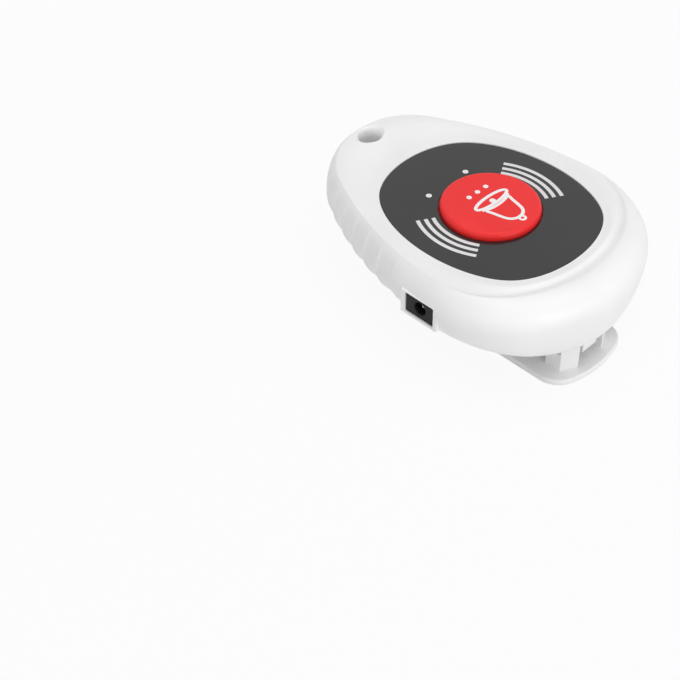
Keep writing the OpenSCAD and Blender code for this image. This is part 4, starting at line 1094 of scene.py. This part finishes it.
def antenna_coil():
    """A wire wound along X in seven turns, with both ends turned down to the board."""
    whole = 14 * pi
    turn = linspace(0, whole, 7 * 12 + 1)
    along = mix(-5.25, 5.25, turn / whole)
    radius = 1.8
    wound = stack([along, 16.4 - radius * cos(turn), 23.4 + radius * sin(turn)], -1)
    start = [(-6.75, 14.6, 21.0), (-6.75, 14.6, 22.8), (-5.95, 14.6, 23.3)]
    end = [(5.95, 14.6, 23.3), (6.75, 14.6, 22.8), (6.75, 14.6, 21.0)]
    path = smooth_path(concatenate([start, wound, end]), 5)
    return make_mesh("antenna_coil", tube(path, 0.3, (1, 0.5, 0), 12))


def battery_lead(name, plug_x, cell_x, crown):
    """A round wire along a curve from the plug, round a bend at its crown and back to the cell."""
    high = 17.9
    low = 16.5
    path = [
        (plug_x, 0.0, high), (plug_x, 1.5, high), (plug_x - 0.4, crown - 2.5, high),
        (plug_x - 2.5, crown - 0.4, high), ((plug_x + cell_x) / 2, crown, 17.2),
        (cell_x + 2.5, crown - 0.4, low), (cell_x + 0.4, crown - 2.5, low),
        (cell_x, 9.5, low), (cell_x, 8.0, low),
    ]
    return make_mesh(name, tube(smooth_path(path, 12), 0.55, (0, 0, 1), 20))


def clip_spring():
    """A wire with two coils on the hinge pin, a bridge under the rear cover and a leg along the clip on
    each side."""
    step = np.arange(19)
    turn = radians(45 + 30 * step)
    along = 3.05 + 0.85 * step / 12
    radius = 1.4
    coil = stack([along, HINGE_Y + radius * cos(turn), HINGE_Z + radius * sin(turn)], -1)
    bridge = [(0.0, -32.5, 11.5), (2.75, -32.5, 11.5), (3.05, -32.8, 11.1)]
    leg = [(4.325, -34.5, 3.1), (4.325, -33.0, 2.1), (4.325, -29.0, 2.1)]
    half = concatenate([bridge, coil, leg])
    path = smooth_path(concatenate([half[:0:-1] * [-1, 1, 1], half]), 6)
    return make_mesh("clip_spring", tube(path, 0.2, (1.0, 0.6, 0.5), 12))


def battery_tape():
    """The tape that holds the cell on the rear cover: a thin plate."""
    strip = rectangle((-9.0, -21.0), (9.0, 7.0), 0.6)
    return make_mesh("battery_tape", slab(strip, LID_TOP, LID_TOP + 0.4, 0.1, 0.1))


def battery_cell():
    """The cell: a pouch with soft edges and a folded seam along each side."""
    pouch = slab(rectangle((-9.8, -22.0), (9.8, 8.0), 1.4), 14.0, 19.0, 0.9, 0.9)
    mesh = make_mesh("battery_cell", pouch)
    folds = [rectangle((x - 0.4, -21.4), (x + 0.4, 7.4), 0.3) for x in (-9.6, 9.6)]
    seams = [slab(fold, 14.6, 17.6, 0.2, 0.2) for fold in folds]
    return carve(mesh, "UNION", *seams)


piece("front_cover_shell", "case", "white_plastic", WHITE, front_cover(), "front_cover", sharp=42)
piece("rear_cover_shell", "case", "white_plastic", WHITE, rear_cover(), "rear_cover")
plate = drilled("faceplate", face_layer(0.0, PLATE_FOOT, FACE, 0.08), 0.85)
piece("faceplate_layer", "case", "grey_plate", GREY, plate, "faceplate")
adhesive = drilled("faceplate_adhesive", face_layer(-0.6, RECESS, PLATE_FOOT, 0.0), 1.1)
piece("faceplate_adhesive_layer", "case", "foam_tape", TAPE, adhesive, "faceplate_adhesive")
piece("plate_print", "case", "white_plastic", INK, plate_print())
piece("call_button_cap", "call_key", "red_plastic", RED, call_button(), "call_button")
piece("bell_print", "call_key", "white_plastic", BELL_INK, bell_print(), sharp=5, weighted=False)
piece("light_pipe_pair", "case", "clear_plastic", WINDOW, light_pipes(), "light_pipes")
piece("jack_block", "case", "black_plastic", BLACK, jack_body(), "jack_body")
piece("jack_centre_pin", "case", "steel", STEEL, jack_pin(), "jack_pin")
piece("belt_clip_sheet", "clip", "white_plastic", WHITE, belt_clip(), "belt_clip")
piece("hinge_pin_rod", "clip", "steel", STEEL, hinge_pin(), "hinge_pin")
clip_wire = piece("clip_spring_wire", None, "steel", STEEL, clip_spring(), "clip_spring", weighted=False)
coil_top = array([0.0, HINGE_Y, HINGE_Z + 1.6]) * MM
coil_foot = array([0.0, HINGE_Y, HINGE_Z - 1.6]) * MM
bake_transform(clip_wire)
case_screws = screws("case_screws", CASE_SCREWS, UNDERSIDE, 9.8)
piece("case_screw_set", "case", "steel", STEEL, case_screws, "case_screws")
board_screws = screws("board_screws", BOARD_SCREWS, 18.8, 7.2)
piece("board_screw_set", "case", "steel", STEEL, board_screws, "board_screws")
coil = button_spring()
key_wire = piece("button_spring_wire", "case", "steel", STEEL, coil, "button_spring", weighted=False)
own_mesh(key_wire)
dome = piece("snap_dome", "case", "steel", STEEL, snap_dome(), "switch_dome", weighted=False)
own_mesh(dome)
piece("antenna_wire", "case", "copper", COPPER, antenna_coil(), "antenna_coil", weighted=False)
red_lead = battery_lead("red_lead", 14.1, 6.0, 13.0)
piece("red_lead", "case", "red_lead", RED_LEAD, red_lead, "battery_lead_red")
black_lead = battery_lead("black_lead", 16.3, 2.5, 15.2)
piece("black_lead", "case", "black_lead", BLACK_LEAD, black_lead, "battery_lead_black")
piece("battery_tape_strip", "case", "foam_tape", TAPE, battery_tape(), "battery_tape")
piece("battery_pouch", "case", "cell_foil", FOIL, battery_cell(), "battery_cell")

# Parts of the frame that are shown as they are
KEPT_NODES = [
    (MASK, ["circuit_board"]),
    (IVORY, ["indicator_leds", "battery_socket", "battery_plug"]),
    (BLACK, ["switch_body", "switch_plunger", "controller_chip", "radio_chip", "charger_chip"]),
    (STEEL, ["switch_plate", "crystal", "jack_contacts"]),
    (CERAMIC, ["small_parts"]),
]
for finish, names in KEPT_NODES:
    for name in names:
        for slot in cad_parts[name].material_slots:
            slot.material = finish


def studio_floor():
    """A plain pale floor. Looked at, it lets most of the white surround through, far out all of it, and
    the rest is lit, so that it keeps a soft shadow and hides no part of the clip when it is open."""
    mesh = bpy.data.meshes.new("studio_floor")
    reach = 4.0
    level = -0.0003
    ways = [(-1, -1), (1, -1), (1, 1), (-1, 1)]
    corners = [(reach * x, reach * y, level) for x, y in ways]
    mesh.from_pydata(corners, [], [(0, 1, 2, 3)])
    floor = add_object("studio_floor", mesh)
    pale = rgb(0.76, 0.76, 0.76)
    finish = material("floor_white", Base_Color=pale, Roughness=0.9, Specular_IOR_Level=0.1)
    lit = Value(finish, finish.nodes["Principled BSDF"].outputs[0])
    surround = finish.node("BsdfTransparent", {}, {"Color": rgb(1, 1, 1)})
    away = finish.node("VectorMath", {"operation": "LENGTH"}, {0: finish.place()}, "Value")
    seen = looked_at(finish) * (finish.band(away, 0.1, 0.6) * 0.08 + 0.92)
    both = finish.node("MixShader", {}, {0: seen, 1: lit, 2: surround})
    finish.feed(finish.nodes["Material Output"].inputs["Surface"], both)
    mesh.materials.append(finish.owner)


def looked_at(finish):
    """1 for a ray from the camera, off a gloss or through a clear piece, 0 for light on the scene."""
    rays = finish.node("LightPath", {}, {}).socket.node.outputs
    names = ("Is Camera Ray", "Is Glossy Ray", "Is Transmission Ray")
    straight, gloss, clear = (Value(finish, rays[name]) for name in names)
    return finish.math("MAXIMUM", finish.math("MAXIMUM", straight, gloss), clear)


def studio_world():
    """A white surround to look at, whose own light on the object is softer."""
    world = bpy.data.worlds.new("studio")
    bpy.context.scene.world = world
    finish = Finish(world)
    ambient = 0.53
    back = finish.nodes["Background"]
    back.inputs["Color"].default_value = rgb(1, 1, 1)
    finish.feed(back.inputs["Strength"], looked_at(finish) * (1 - ambient) + ambient)


def set_up(obj, place, right, up, back):
    """Puts a lamp or a camera at a place, with its own axes along three directions."""
    turned = np.eye(4)
    turned[:3] = stack([right, up, back, place], -1)
    obj.matrix_world = Matrix(turned.tolist())


def soft_lamp(name, place, size, power):
    """A square lamp that faces the middle of the case."""
    lamp = bpy.data.lights.new(name, "AREA")
    lamp.size = size
    lamp.energy = power
    back = unit(array(place) - array([0.0, 0.0, 0.02]))
    right = unit(np.cross([0.0, 0.0, 1.0], back))
    set_up(add_object(name, lamp), place, right, np.cross(back, right), back)


def photo_camera():
    """The camera: 43.3 degrees down, along the bearing between +X and +Y, rolled by 0.6 degrees."""
    pitch = radians(43.348)
    roll = radians(0.6)
    bearing = array([0.7036, 0.7106])
    level = array([bearing[1], -bearing[0], 0.0])
    rise = np.append(bearing * sin(pitch), cos(pitch))
    back = -np.append(bearing * cos(pitch), -sin(pitch))
    right = cos(roll) * level - sin(roll) * rise
    up = cos(roll) * rise + sin(roll) * level
    lens = bpy.data.cameras.new("photo_camera")
    lens.lens = 81.053
    lens.sensor_width = 36.0
    lens.clip_start = 0.01
    camera = add_object("photo_camera", lens)
    set_up(camera, array([-242.4, -194.0, 273.4]) * MM, right, up, back)
    bpy.context.scene.camera = camera


studio_floor()
studio_world()
soft_lamp("front_lamp", (-0.06, -0.9, 0.19), size=0.6, power=2.9)
soft_lamp("side_lamp", (-0.8, -0.4, 0.3), size=0.4, power=0.55)
soft_lamp("top_lamp", (-0.03, -0.1, 0.95), size=0.8, power=3.45)
photo_camera()
bpy.context.scene.view_settings.view_transform = "Standard"
